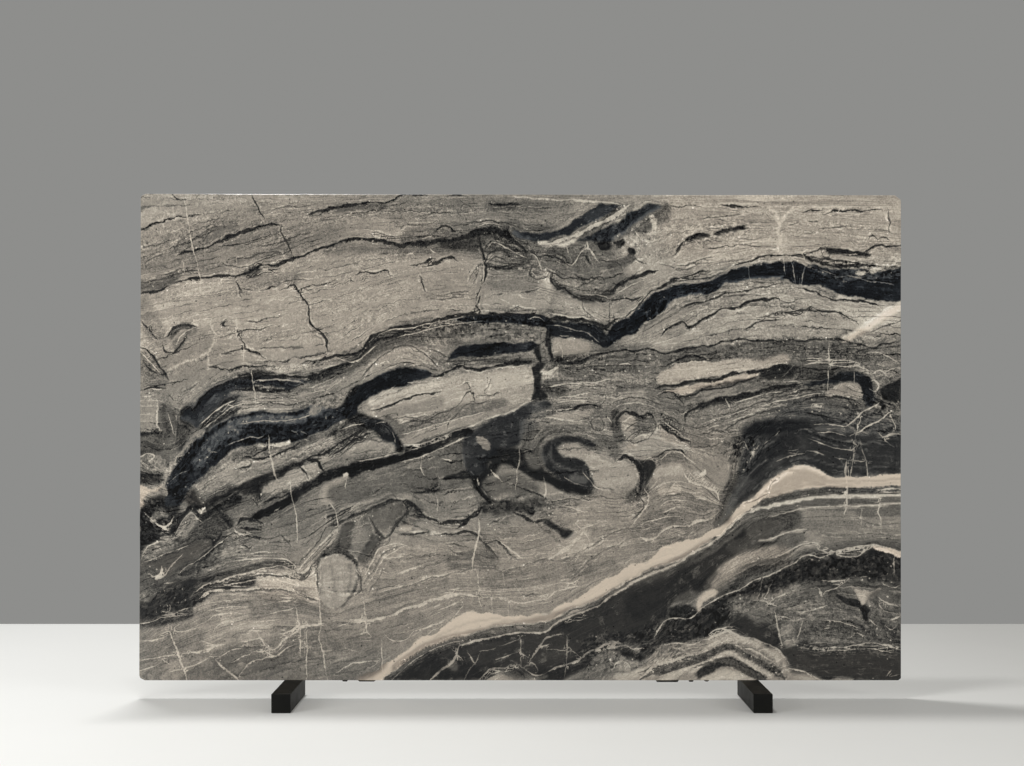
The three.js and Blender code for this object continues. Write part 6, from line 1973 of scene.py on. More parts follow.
def stone_fields(px, py):
    """Every field of the stone, by name, at the vertices of the polished face."""
    places = {kind: shaken(px, py, amount) for kind, amount in SHAKE_BY.items()}
    fields = {
        "ground": field_of_washes(*places["dark"], GROUND_TONE, GROUND_FIELDS)[0],
        "warmth": field_of_washes(px, py, 0, WARMTH)[0],
        "broken": field_of_washes(*places["dark"], 0, BROKEN)[0],
        "layering": field_of_washes(px, py, LAYERING_GROUND, LAYERING)[0],
        "bedding": field_of_bedding(px, py),
    }
    fields["glaze_tone"], fields["glaze_share"] = field_of_washes(*places["glaze"], 0, GLAZES)
    for kind, bodies in (("dark", DARK_BODIES), ("pale", PALE_BODIES)):
        edge, values = field_of_bodies(*places[kind], bodies)
        fields[kind + "_edge"] = edge
        for number, name in enumerate(("_tone", "_warmth", "_soft")):
            fields[kind + name] = values[:, number]
    for kind, place, strokes in (("seam", "dark", DARK_SEAMS), ("vein", "vein", WHITE_VEINS)):
        field = field_of_strokes(*places[place], strokes)
        for number, name in enumerate(("_side", "_reach", "_half")):
            fields[kind + name] = field[number]
    return fields


# ---------------------------------------------------------------------------
# The slab's mesh: a fine grid on the polished face, a coarse one on the back.
# ---------------------------------------------------------------------------

COLUMNS = 372
ROWS = 236
BACK_STEP = 4  # the back has one vertex for this many on the face
ONLY_INSIDE_RIM = 1  # what the triangulation of the back returns
WELD = 1e-7  # places closer than this count as one there

# The outline is the CAD slab's.
MM = 0.001
TOP_FALL = 6 * MM  # the top edge runs down to the right by this much
LEFT_LEAN = 6 * MM  # the left edge is further in at the top by this much
ARRIS = 1.5 * MM  # the edges of both faces are eased by this much
ROUND_TOP_LEFT = 19 * MM
ROUND_BOTTOM_LEFT = 22 * MM
CUT_TOP_RIGHT = (24 * MM, 18 * MM)  # along and down
CHIP_BOTTOM_RIGHT = (10 * MM, 7 * MM)
EDGE_WAVES = ((1, 9.7, 1), (0.6, 23.3, 2.1), (0.4, 41.9, 3.7))  # height, frequency, turn
LEFT_WAVE = (2 * MM, 3)  # depth and seed of the waves in an edge
RIGHT_WAVE = (1.5 * MM, 1)
TOP_WAVE = (1.5 * MM, 2)


def edge_wave(share, depth, seed):
    """How far an edge swings out at a share of its length; the waves fade out at its ends."""
    waves = sum(height * np.sin(share * frequency + turn * seed)
                for height, frequency, turn in EDGE_WAVES)
    return depth * waves * np.sin(np.pi * share) / 2


def rounded(height, radius):
    """How far a rounded corner draws in at this height from its end."""
    left = np.clip(radius - height, 0, radius)
    return radius - np.sqrt(radius**2 - left**2)


def sawn_off(height, cut):
    """How far a sawn-off corner draws in at this height from its end."""
    along, down = cut
    return along * np.clip(1 - height / down, 0, 1)


def slab_point(across, up, inset):
    """The place on the slab at a share of its length and height, in X and Z."""
    foot, top = slab_low.z, slab_high.z
    height = up * (top - foot)
    from_top = (1 - up) * (top - foot)
    left = slab_low.x + LEFT_LEAN * up + np.abs(edge_wave(1 - up, *LEFT_WAVE))
    left = left + rounded(height, ROUND_BOTTOM_LEFT) + rounded(from_top, ROUND_TOP_LEFT)
    right = slab_high.x - np.abs(edge_wave(up, *RIGHT_WAVE))
    right = right - sawn_off(height, CHIP_BOTTOM_RIGHT) - sawn_off(from_top, CUT_TOP_RIGHT)
    x = left + inset + across * (right - left - 2 * inset)
    share = 1 - (x - slab_low.x) / (slab_high.x - slab_low.x)
    ceiling = top - TOP_FALL * (1 - share) + np.minimum(edge_wave(share, *TOP_WAVE), 0)
    z = foot + inset + up * (ceiling - foot - 2 * inset)
    return x, z


def face_grid():
    """The shares of length and height at the vertices of the polished face."""
    across, up = np.meshgrid(np.linspace(0, 1, COLUMNS + 1), np.linspace(0, 1, ROWS + 1))
    return across.ravel(), up.ravel()


def rim_of_grid():
    """The numbers of the grid's outer vertices, once round."""
    wide = COLUMNS + 1
    bottom = list(range(COLUMNS))
    right = [r * wide + COLUMNS for r in range(ROWS)]
    top = [ROWS * wide + c for c in range(COLUMNS, 0, -1)]
    left = [r * wide for r in range(ROWS, 0, -1)]
    return np.array(bottom + right + top + left)


def grid_quads(numbers):
    """The quads between the vertices of the grid."""
    wide = COLUMNS + 1
    corner = numbers.reshape(ROWS + 1, wide)[:-1, :-1].ravel()
    return np.stack([corner, corner + 1, corner + wide + 1, corner + wide], 1).tolist()


def ring_quads(rings):
    """The quads between each ring of vertices and the next."""
    quads = []
    for ring, further in zip(rings[:-1], rings[1:]):
        corners = [ring, further, np.roll(further, -1), np.roll(ring, -1)]
        quads += np.stack(corners, 1).tolist()
    return quads


def back_triangles(places, rim_length, first):
    """The triangles of the back, whose vertices start with its rim and are numbered from first."""
    points = [Vector(place) for place in places[:, [0, 2]]]
    rim = [(i, (i + 1) % rim_length) for i in range(rim_length)]
    found = delaunay_2d_cdt(points, rim, [], ONLY_INSIDE_RIM, WELD)
    triangles, sources = found[2:4]
    faces = []
    for triangle in triangles:
        a, b, c = (first + sources[i][0] for i in triangle)
        faces.append([a, c, b])
    return faces


def slab_mesh():
    """Vertices, faces, each vertex's twin on the polished face, and how many faces are polished."""
    across, up = face_grid()
    every = np.arange(len(across))
    rim = rim_of_grid()
    row, column = np.divmod(every, COLUMNS + 1)
    coarse = every[(row % BACK_STEP == 0) & (column % BACK_STEP == 0) & (row > 0)
                   & (column > 0) & (row < ROWS) & (column < COLUMNS)]
    front, back = slab_low.y, slab_high.y
    twins = [every, rim, rim, rim, coarse]
    insets = [ARRIS, 0, 0, ARRIS, ARRIS]
    depths = [front, front + ARRIS, back - ARRIS, back, back]
    parts = []
    for twin, inset, y in zip(twins, insets, depths):
        x, z = slab_point(across[twin], up[twin], inset)
        parts.append(np.stack([x, np.full(len(x), y), z], 1))

    starts = np.cumsum([0] + [len(part) for part in parts])
    faces = grid_quads(every)
    polished = len(faces) + len(rim)
    faces += ring_quads([rim] + [start + np.arange(len(rim)) for start in starts[1:4]])
    faces += back_triangles(np.concatenate(parts[3:]), len(rim), starts[3])
    return np.concatenate(parts), faces, np.concatenate(twins), polished


# ---------------------------------------------------------------------------
# Materials.
# ---------------------------------------------------------------------------

# The sockets of a Mix node by what it mixes: share, first value, second value and result.
MIX_SOCKETS = {"FLOAT": (0, 2, 3, 0), "RGBA": (0, 6, 7, 2)}


def linear(value):
    """A number from 0 to 255 of an sRGB colour, made linear."""
    share = value / 255
    return share / 12.92 if share <= 0.04045 else ((share + 0.055) / 1.055) ** 2.4


class Shader:
    """A material with short names for the nodes that it is built from."""

    def __init__(self, name):
        self.material = bpy.data.materials.new(name)
        self.material.use_nodes = True
        self.tree = self.material.node_tree
        self.surface = self.tree.nodes["Principled BSDF"]

    def node(self, kind, **settings):
        made = self.tree.nodes.new(kind)
        for name, value in settings.items():
            setattr(made, name, value)
        return made

    def join(self, source, socket):
        """Gives a socket a constant or what comes out of a node."""
        if isinstance(source, (int, float, tuple)):
            socket.default_value = source
        else:
            self.tree.links.new(source, socket)

    def place(self):
        """The place on the piece, in metres."""
        return self.node("ShaderNodeTexCoord").outputs["Object"]

    def field(self, name):
        """A field of the stone, which the mesh holds under this name."""
        return self.node("ShaderNodeAttribute", attribute_name=name).outputs["Fac"]

    def math(self, operation, *values, clamp=False):
        made = self.node("ShaderNodeMath", operation=operation, use_clamp=clamp)
        for value, socket in zip(values, made.inputs):
            self.join(value, socket)
        return made.outputs[0]

    def times(self, *values):
        product = values[0]
        for value in values[1:]:
            product = self.math("MULTIPLY", product, value)
        return product

    def plus(self, start, *terms):
        """The start and, for each term, a value times a weight."""
        for value, weight in terms:
            start = self.math("MULTIPLY_ADD", value, weight, start)
        return start

    def less(self, a, b):
        return self.math("SUBTRACT", a, b)

    def part(self, value, sign=1):
        """The positive or, with sign -1, the negative part of a value, up to 1."""
        return self.math("MULTIPLY", value, float(sign), clamp=True)

    def step(self, value, low, high):
        """0 up to low and 1 from high on, smooth between them."""
        made = self.node("ShaderNodeMapRange", interpolation_type="SMOOTHSTEP")
        for source, name in ((value, "Value"), (low, "From Min"), (high, "From Max")):
            self.join(source, made.inputs[name])
        return made.outputs[0]

    def band(self, value, low, high, soft):
        """1 between low and high and 0 outside them."""
        rise = self.step(value, low - soft, low + soft)
        fall = self.step(value, high - soft, high + soft)
        return self.less(rise, fall)

    def mix(self, data_type, a, b, share, **settings):
        made = self.node("ShaderNodeMix", data_type=data_type, **settings)
        *inputs, result = MIX_SOCKETS[data_type]
        for source, number in zip((share, a, b), inputs):
            self.join(source, made.inputs[number])
        return made.outputs[result]

    def blend(self, a, b, share):
        """a where share is 0 and b where it is 1, for numbers."""
        return self.mix("FLOAT", a, b, share)

    def tint(self, colour, by, share):
        """A colour multiplied by another one as far as share."""
        return self.mix("RGBA", colour, by, share, blend_type="MULTIPLY")

    def split(self, vector):
        """A vector's three numbers."""
        made = self.node("ShaderNodeSeparateXYZ")
        self.join(vector, made.inputs[0])
        return made.outputs[:]

    def vector(self, x, y, z):
        made = self.node("ShaderNodeCombineXYZ")
        for value, socket in zip((x, y, z), made.inputs):
            self.join(value, socket)
        return made.outputs[0]

    def noise(self, vector, scale=1.0, detail=2.0, roughness=0.6):
        """Noise about zero."""
        made = self.node("ShaderNodeTexNoise")
        for value, name in ((vector, "Vector"), (scale, "Scale"), (detail, "Detail"),
                            (roughness, "Roughness")):
            self.join(value, made.inputs[name])
        return self.less(made.outputs["Fac"], 0.5)

    def cells(self, vector, scale=1.0):
        """Distance to the middle of a cell, and a number from 0 to 1 of its own."""
        made = self.node("ShaderNodeTexVoronoi")
        self.join(vector, made.inputs["Vector"])
        self.join(scale, made.inputs["Scale"])
        split = self.node("ShaderNodeSeparateColor")
        self.join(made.outputs["Color"], split.inputs[0])
        return made.outputs["Distance"], split.outputs[0]

    def ramp(self, value, stops):
        """A colour between the stops, each a place and an sRGB colour from 0 to 255."""
        made = self.node("ShaderNodeValToRGB")
        elements = made.color_ramp.elements
        while len(elements) < len(stops):
            elements.new(0.5)
        for element, (place, colour) in zip(elements, stops):
            element.position = place
            element.color = (*[linear(v) for v in colour], 1)
        self.join(value, made.inputs[0])
        return made.outputs[0]

    def bump(self, height, strength, distance):
        made = self.node("ShaderNodeBump")
        self.join(strength, made.inputs["Strength"])
        self.join(distance, made.inputs["Distance"])
        self.join(height, made.inputs["Height"])
        self.join(made.outputs[0], self.surface.inputs["Normal"])

    def finished(self, colour, roughness, specular=0.5):
        """The material, with this colour, roughness and strength of reflection."""
        self.join(colour, self.surface.inputs["Base Color"])
        self.join(roughness, self.surface.inputs["Roughness"])
        self.surface.inputs["Specular IOR Level"].default_value = specular
        return self.material


# The stone's colours by tone, from black to white.
STONE_COLOURS = [
    (0.0, (0, 0, 0)),
    (0.10, (25, 26, 27)),
    (0.20, (51, 50, 48)),
    (0.40, (104, 101, 95)),
    (0.60, (157, 150, 139)),
    (0.80, (209, 201, 186)),
    (1.0, (250, 246, 238)),
]
WARM_TINT = (1.06, 0.97, 0.92, 1)
COLD_TINT = (0.74, 0.94, 1.25, 1)
COLD_TONES = (0.5, 0.25)  # the cold tint comes in between these tones

# Noise in the stone: the width of its bumps in pixels, its detail and its roughness.
CLOUD = (38, 3.0, 0.6)
SWELL = (11, 2.0, 0.6)
ROUGH = (6, 4.0, 0.6)
FINE = (2.2, 3.0, 0.7)
GRIT = (1.2, 1.0, 0.6)

# Layers in the bed: length and thickness in pixels, and the detail of their noise.
BROAD_LAYERS = (80, 9, 2.0)
THIN_LAYERS = (34, 3.0, 3.0)
HAIR_LAYERS = (16, 1.2, 2.0)
BENDING_LAYERS = (150, 30, 1.0)
BENDING = 26.0  # how far those bend the beds, in pixels

# Beds with sharp joints: thickness and length in pixels.
THICK_BEDS = (19, 150)
THIN_BEDS = (6.5, 90)
LUCK_RATIO = 2.5  # a bed's second noise is shorter by this
BED_SEED = 7.31  # sets the noise of one bed apart from the next one's

# Strips of layers beside a line: length and thickness in pixels.
BODY_STRIPS = (40, 3.2)
SEAM_STRIPS = (34, 2.6)

CRYSTAL = 3.6  # pixels between two crystals
GRAIN = (3.2, 2.8)  # pixels between two grains, along and across the bed
CALM_DEPTHS = (440.0, 520.0)  # the bed gets calmer between these depths
COARSE_DEPTHS = (420.0, 330.0)  # its grain may be coarser above these
SMOOTH_TONES = (0.67, 0.76)  # the palest bodies have next to no texture

# How strongly the texture shows in each kind of stone.
DARK_GAIN = 0.34
PALE_GAIN = 0.80
SMOOTH_GAIN = 0.24

# Zones beside an edge or a line, in pixels from it, from where they start to where they are full.
LINE_EDGE = (-0.4, 0.35)
STRAY = (-2.8, -1.6)  # a line ends where noise moves it this far out of its traced width
SEAM_HALO = (9.0, 1.5)
CONTACT = (5.0, 1.5)
BODY_WITHIN = (0.5, 3.0)
BODY_OUTSIDE = (-8.0, -0.8, 1.5)  # a band: from, to and softness
BODY_CONTACT = (-3.0, 2.0, 1.5)
SEAM_RIM = (-2.3, -0.9, 0.4)

# Lines along the joints of beds: pixels from the joint where a line ends and where it is full,
# and the values of a bed's own noise between which it sets in.
FINE_JOINTS = ((0.95, 0.35), (0.02, 0.10))
PALE_JOINTS = ((1.05, 0.4), (-0.05, -0.14))
DARK_JOINTS = (0.03, 0.09)
DARK_JOINT_CORE = 0.3  # of a dark line's width

# The speckle's weights in an even bed, and what they gain in a coarse one.
GRAIN_WEIGHT = (0.04, 0.10)
FINE_WEIGHT = (0.16, 0.12)
GRIT_WEIGHT = (0.32, 0.30)

# Some things come out only in places: the values of a noise between which they set in.
COARSE_PLACES = (-0.06, 0.10)
HALO_PLACES = (-0.12, 0.10)
RIM_PLACES = (-0.02, 0.10)
THREAD_PLACES = (0.0, 0.12)
SOFT_PLACES = (0.0, 0.15)
SMOKE_PLACES = (0.0, 0.25)

# What a thing adds to the tone where it is full.
DARK_JOINT = -0.33
FINE_JOINT = -0.22
PALE_JOINT = 0.15
OUTER_SHADE = -0.03
OUTER_STRIPS = 0.70
INNER_STRIPS = 0.10
INNER_THREADS = 0.15
HALO_SHADE = -0.06
HALO_STRIPS = 0.55
SEAM_RIM_LIGHT = 0.14
SHARDS = 0.32
BRIGHT_CRYSTAL = 0.36
DARK_CRYSTAL = -0.25
SMOKE = 0.10

THREAD = (0.04, 0.005)  # a thread runs where the noise of the strips is this close to 0
HALO_SEAMS = (0.6, 1.1)  # seams get a halo between these half widths
GREY_SEAMS = (0.9, 0.4)  # and are greyer between these
CALM_FADE = 0.6  # how much of the joints' lines the calm beds lose
SEAM_COVER = 0.92
SEAM_WANDER = 3.0  # how far the noise moves a line across its traced place
VEIN_WANDER = 2.0
SAWN_TONE = 0.58  # the dust on the sawn sides
SAWN_SHARE = 0.5


def in_pixels(length):
    """The scale of a noise whose bumps are this many pixels wide."""
    return 1 / (length * PIXEL)


class Stone:
    """The marble's pattern: bedded ground, dark and pale bodies, seams, veins and crystals."""

    def __init__(self, shader):
        self.s = s = shader
        self.place = s.place()
        x, y, _ = s.split(self.place)
        self.along = s.times(x, 1 / PIXEL)
        self.depth = s.times(y, 1 / PIXEL)
        self.cloud = self.mottle(*CLOUD)
        self.swell = self.mottle(*SWELL)
        self.rough = self.mottle(*ROUGH)
        self.fine = self.mottle(*FINE)
        self.grit = self.mottle(*GRIT)
        self.broken = s.field("broken")
        self.calm = s.step(s.field("bedding"), *CALM_DEPTHS)
        bed = self.varied(s.field("bedding"), rough=self.varied(6.0, calm=-3.5), fine=1.5)
        self.broad = self.layers(bed, *BROAD_LAYERS)
        self.thin = self.layers(bed, *THIN_LAYERS)
        self.hair = self.layers(bed, *HAIR_LAYERS)
        bent = s.plus(bed, (self.layers(bed, *BENDING_LAYERS), BENDING))
        self.thick_tone, self.thick_luck, self.thick_joint = self.beds(bent, *THICK_BEDS)
        self.thin_tone, self.thin_luck, self.thin_joint = self.beds(bent, *THIN_BEDS)
        self.grain = s.less(s.cells(self.bed_place(bed, *GRAIN))[1], 0.5)
        self.dot, self.luck = s.cells(self.place, in_pixels(CRYSTAL))

    def mottle(self, size, detail, roughness):
        """Noise that is alike in all directions."""
        return self.s.noise(self.place, in_pixels(size), detail, roughness)

    def varied(self, start, **weights):
        """The start and, for each name, that noise of the stone times its weight."""
        return self.s.plus(start, *[(getattr(self, name), by) for name, by in weights.items()])

    def bed_place(self, across, length, thickness):
        """A place for noise whose bumps are long along the bed and thin across it."""
        s = self.s
        return s.vector(s.times(self.along, 1 / length), s.times(across, 1 / thickness),
                        s.times(self.depth, 1 / length))

    def layers(self, bed, length, thickness, detail):
        """Soft layers in the bed."""
        return self.s.noise(self.bed_place(bed, length, thickness), detail=detail)

    def beds(self, bed, thickness, length):
        """Layers with sharp joints: two noises of each layer's own and the way to its joint."""
        s = self.s
        count = s.times(bed, 1 / thickness)
        number = s.times(s.math("FLOOR", count), BED_SEED)
        own = [s.noise(s.vector(s.times(self.along, 1 / reach), number,
                                s.times(self.depth, 1 / reach)), detail=3.0)
               for reach in (length, length / LUCK_RATIO)]
        middle = s.less(s.math("FRACT", count), 0.5)
        joint = s.times(s.less(0.5, s.math("ABSOLUTE", middle)), thickness)
        return own[0], own[1], joint

    def strips(self, away, length, thickness):
        """Layers that run along a line, by the distance from it."""
        s = self.s
        place = s.vector(s.times(self.along, 1 / length), s.times(away, 1 / thickness), 0.0)
        return s.noise(place, detail=3.0)

    def speckle(self):
        """The grains, which are coarser in some of the upper beds."""
        s = self.s
        upper = s.step(s.field("bedding"), *COARSE_DEPTHS)
        coarse = s.times(s.step(self.broad, *COARSE_PLACES), upper)
        grain, fine, grit = (s.plus(even, (coarse, gained))
                             for even, gained in (GRAIN_WEIGHT, FINE_WEIGHT, GRIT_WEIGHT))
        return s.plus(s.times(self.grain, grain), (self.fine, fine), (self.grit, grit))

    def joint_lines(self, tone):
        """Dark and pale lines along some joints of the beds."""
        s = self.s
        wide = self.varied(0.9, swell=2.4)
        core = s.times(wide, DARK_JOINT_CORE)
        dark = s.times(s.step(self.thick_joint, wide, core), s.step(self.thick_luck, *DARK_JOINTS))
        fine, pale = (s.times(s.step(self.thin_joint, *way), s.step(self.thin_luck, *odds))
                      for way, odds in (FINE_JOINTS, PALE_JOINTS))
        ink = s.plus(0.0, (dark, DARK_JOINT), (fine, FINE_JOINT))
        strength = s.less(1.0, s.times(self.calm, CALM_FADE))
        return s.plus(tone, (pale, PALE_JOINT), (ink, strength))

    def texture(self):
        """What the layers and the grains add to the tone of the bare ground."""
        s = self.s
        layering = s.field("layering")
        layered = self.varied(s.times(self.thick_tone, 0.40), thin_tone=0.42, thin=0.25, hair=0.42)
        speckle = s.times(self.speckle(), s.plus(0.6, (layering, 0.5)))
        tone = self.varied(s.times(layered, layering), swell=0.14)
        return self.joint_lines(s.plus(tone, (speckle, 1.0)))

    def body(self, kind):
        """Where the dark or pale bodies lie, and the ragged distance to their edge."""
        s = self.s
        edge = self.varied(s.field(kind + "_edge"), rough=5.0, fine=3.5)
        soft = s.plus(s.field(kind + "_soft"), (s.step(self.swell, *SOFT_PLACES), 1.6))
        return s.step(edge, s.times(soft, -1), soft), edge

    def rims(self, tone, edge, in_pale):
        """Thin layers that follow the edge of the dark bodies, on both its sides."""
        s = self.s
        follow = self.strips(edge, *BODY_STRIPS)
        outside = s.times(s.band(edge, *BODY_OUTSIDE), s.less(1.0, in_pale))
        within = s.step(edge, *BODY_WITHIN)
        thread = s.times(s.step(s.math("ABSOLUTE", follow), *THREAD),
                         s.step(self.swell, *THREAD_PLACES))
        tone = s.plus(tone, (s.times(outside, follow), OUTER_STRIPS), (outside, OUTER_SHADE))
        return s.plus(tone, (s.times(within, follow), INNER_STRIPS),
                      (s.times(within, thread), INNER_THREADS))

    def stroke(self, kind, half, wander):
        """1 on a seam or vein and 0 off it, with how far inside its edge a place is."""
        s = self.s
        side = self.varied(s.field(kind + "_side"), rough=wander, fine=wander)
        reach = s.field(kind + "_reach")
        gap = s.less(half, s.math("ABSOLUTE", side))
        on_line = s.times(s.step(gap, *LINE_EDGE), s.step(s.less(half, reach), *STRAY))
        return on_line, gap, reach

    def seams(self, tone):
        """The dark seams, broken and beaded, with a grey halo of threads along them."""
        s = self.s
        traced = s.field("seam_half")
        half = s.times(traced, self.varied(0.78, swell=2.4, fine=1.8))
        line, gap, reach = self.stroke("seam", half, SEAM_WANDER)
        threads = self.strips(s.field("seam_side"), *SEAM_STRIPS)
        halo = s.times(s.step(reach, *SEAM_HALO), s.step(self.broad, *HALO_PLACES),
                       s.step(traced, *HALO_SEAMS))
        rim = s.times(s.band(gap, *SEAM_RIM), s.step(self.rough, *RIM_PLACES))
        tone = s.plus(tone, (halo, HALO_SHADE), (s.times(halo, threads), HALO_STRIPS),
                      (rim, SEAM_RIM_LIGHT))
        grey = s.plus(0.10, (s.step(traced, *GREY_SEAMS), 0.10))
        ink = self.varied(grey, calm=0.20, fine=0.50, rough=0.25, grit=0.25)
        return s.blend(tone, ink, s.times(line, SEAM_COVER)), reach

    def veins(self, tone, in_dark):
        """The white veins, which come and go, and are dimmer in the dark bodies."""
        s = self.s
        half = s.times(s.field("vein_half"), self.varied(0.86, swell=2.0, fine=1.8))
        line, _, _ = self.stroke("vein", half, VEIN_WANDER)
        ink = self.varied(0.74, fine=0.4, grit=0.2)
        strength = self.varied(s.plus(0.86, (in_dark, -0.24)), swell=1.4, rough=0.6)
        return s.blend(tone, ink, s.times(line, strength))

    def crystals(self, tone, edge, reach):
        """Broken places, and bright and dark grains that are thickest along the contacts."""
        s = self.s
        shards = self.varied(self.grain, fine=1.4)
        tone = s.plus(tone, (s.times(self.broken, shards), SHARDS))
        contact = s.math("MAXIMUM", s.step(reach, *CONTACT), s.band(edge, *BODY_CONTACT))
        odds = self.varied(s.plus(0.012, (contact, 0.13)), broken=0.22)
        inner = s.less(self.varied(0.22, swell=0.5, fine=0.8), self.dot)
        bright = s.times(s.step(s.less(odds, self.luck), 0.0, 0.01), s.step(inner, 0.0, 0.12))
        dark = s.times(s.step(self.luck, 0.92, 0.94), s.step(inner, -0.03, 0.10))
        return s.plus(tone, (bright, BRIGHT_CRYSTAL), (dark, DARK_CRYSTAL))

    def ground(self, in_dark, in_pale):
        """The tone of ground, bodies and glazes, with the texture on it."""
        s = self.s
        smoky = s.plus(s.field("dark_tone"), (s.step(self.cloud, *SMOKE_PLACES), SMOKE))
        base = s.blend(s.field("ground"), smoky, in_dark)
        base = s.blend(base, s.field("pale_tone"), in_pale)
        bare = s.less(1.0, s.field("glaze_share"))
        base = s.plus(s.times(base, bare), (s.field("glaze_tone"), 1.0))
        smooth = s.step(s.field("pale_tone"), *SMOOTH_TONES)
        gain = s.blend(s.blend(1.0, DARK_GAIN, in_dark),
                       s.blend(PALE_GAIN, SMOOTH_GAIN, smooth), in_pale)
        return s.plus(base, (s.times(self.texture(), gain), 1.0))

    def tinted(self, tone, in_dark, in_pale):
        """The colour of a tone, made warmer or colder by the fields of warmth."""
        s = self.s
        warmth = s.blend(s.field("warmth"), s.field("dark_warmth"), s.times(in_dark, in_dark))
        warmth = s.blend(warmth, s.field("pale_warmth"), in_pale)
        colour = s.tint(s.ramp(tone, STONE_COLOURS), WARM_TINT, s.part(warmth))
        cold = s.times(s.part(warmth, -1), s.step(tone, *COLD_TONES))
        return s.tint(colour, COLD_TINT, cold)

    def colour(self, polished):
        """The stone's colour, polished or sawn."""
        in_dark, edge = self.body("dark")
        in_pale, _ = self.body("pale")
        tone = self.ground(in_dark, in_pale)
        tone = self.rims(tone, edge, in_pale)
        tone, reach = self.seams(tone)
        tone = self.crystals(tone, edge, reach)
        tone = self.veins(tone, in_dark)
        if not polished:
            tone = self.s.blend(tone, SAWN_TONE, SAWN_SHARE)
        return self.tinted(tone, in_dark, in_pale)


# Each ramp holds the colours between which a material's cloudiness moves; the floor's ramp also runs
# from lit to painted shade.
PAINT_COLOURS = [(0.3, (10, 10, 9)), (0.7, (22, 22, 19))]
RUBBER_COLOURS = [(0.3, (10, 10, 10)), (0.75, (32, 31, 29))]
FLOOR_COLOURS_AND_PAINTED_SHADE = [(0.0, (238, 238, 235)), (1.0, (202, 201, 197))]

# Noise in metres: how many bumps a metre holds, the detail and, for the first, the roughness.
SAWN_GRAIN = (900.0, 3.0, 0.7)
PAINT_CLOUDS = (14.0, 4.0)
PAINT_GRAIN = (260.0, 2.0)
RUBBER_CLOUDS = (60.0, 4.0)
FLOOR_CLOUDS = (0.8, 3.0)


def polished_marble():
    """The front, with a polish that is a little uneven."""
    s = Shader("marble_polished")
    stone = Stone(s)
    return s.finished(stone.colour(polished=True), stone.varied(0.20, fine=0.10), specular=0.22)


def sawn_marble():
    """The back and the sides: the same stone, dull and dusty, with a fine grain."""
    s = Shader("marble_sawn")
    stone = Stone(s)
    s.bump(s.noise(stone.place, *SAWN_GRAIN), strength=0.35, distance=0.0008)
    return s.finished(stone.colour(polished=False), stone.varied(0.68, fine=0.20))


def black_paint():
    """Matte paint on the bars, a little cloudy and grained."""
    s = Shader("bar_paint")
    place = s.place()
    cloud = s.noise(place, *PAINT_CLOUDS)
    colour = s.ramp(s.plus(0.5, (cloud, 1.0)), PAINT_COLOURS)
    s.bump(s.noise(place, *PAINT_GRAIN), strength=0.2, distance=0.0005)
    return s.finished(colour, s.plus(0.52, (cloud, 0.3)), specular=0.12)


def packing_rubber():
    """Dull rubber of the scraps under the slab."""
    s = Shader("packing_rubber")
    cloud = s.noise(s.place(), *RUBBER_CLOUDS)
    colour = s.ramp(s.plus(0.5, (cloud, 1.0)), RUBBER_COLOURS)
    return s.finished(colour, s.plus(0.78, (cloud, 0.2)), specular=0.2)


def floor_material():
    """A pale floor with painted shade that darkens it a little to the right."""
    s = Shader("studio_floor_painted_shade")
    place = s.place()
    across, _, _ = s.split(place)
    # painted shade: the floor's colour darkens towards the right, as if the light fell off there
    share = s.plus(0.5, (s.noise(place, *FLOOR_CLOUDS), 0.15), (across, 0.2))
    return s.finished(s.ramp(share, FLOOR_COLOURS_AND_PAINTED_SHADE), 0.6)


# ---------------------------------------------------------------------------
# The pieces.
# ---------------------------------------------------------------------------

# The places of the baked picture, as corner and size: the polished face fills the upper part,
# the back lies at the lower left, and the four sides are strips at the lower right.
FACE_PLACE = ((0.003, 0.37), (0.994, 0.627))
BACK_PLACE = ((0.003, 0.003), (0.55, 0.35))
STRIP_PLACE = ((0.57, 0.01), (0.425, 0.07))
STRIP_STEP = 0.085  # from one strip to the next
STRIP_LEVELS = (0.0, 0.1, 0.9, 1.0)  # up a strip: an eased edge, the sawn side, an eased edge

QUAD = 4  # corners of a face of the grid


def baked(place, across, up):
    """Where shares of a place's width and height lie on the baked picture."""
    (left, foot), (width, height) = place
    return np.stack([left + width * across, foot + height * up], -1)


def strip_map(side, length):
    """The corners of one side's faces on the baked picture, for each pair of levels."""
    start = np.arange(length) / length
    end = start + 1 / length
    (left, foot), size = STRIP_PLACE
    place = ((left, foot + STRIP_STEP * side), size)
    quads = []
    for low, high in zip(STRIP_LEVELS[:-1], STRIP_LEVELS[1:]):
        u = np.stack([start, start, end, end], 1)
        v = np.tile([low, high, high, low], (length, 1))
        quads.append(baked(place, u, v))
    return np.stack(quads)


def bake_map(mesh, twins):
    """Gives every corner of the mesh its place on the baked picture."""
    corners = np.zeros(len(mesh.loops), np.int32)
    mesh.loops.foreach_get("vertex_index", corners)
    across, up = (shares[twins][corners] for shares in face_grid())
    places = baked(BACK_PLACE, across, up)
    face_end = QUAD * ROWS * COLUMNS
    places[:face_end] = baked(FACE_PLACE, across[:face_end], up[:face_end])
    sides = [strip_map(side, length)
             for side, length in enumerate((COLUMNS, ROWS, COLUMNS, ROWS))]
    strips = np.concatenate(sides, axis=1).reshape(-1, 2)
    places[face_end:face_end + len(strips)] = strips
    picture = mesh.uv_layers.new(name="OFBake")
    picture.uv.foreach_set("vector", places.ravel().astype(np.float32))


def paint_fields(mesh, twins):
    """Writes the stone's fields on the mesh; the back and the sides take the face's values."""
    x, z = slab_point(*face_grid(), ARRIS)
    fields = stone_fields(MIDDLE_PX + x / PIXEL, FOOT_PX - (z - slab_low.z) / PIXEL)
    for name, values in fields.items():
        layer = mesh.attributes.new(name, "FLOAT", "POINT")
        layer.data.foreach_set("value", values[twins].astype(np.float32))


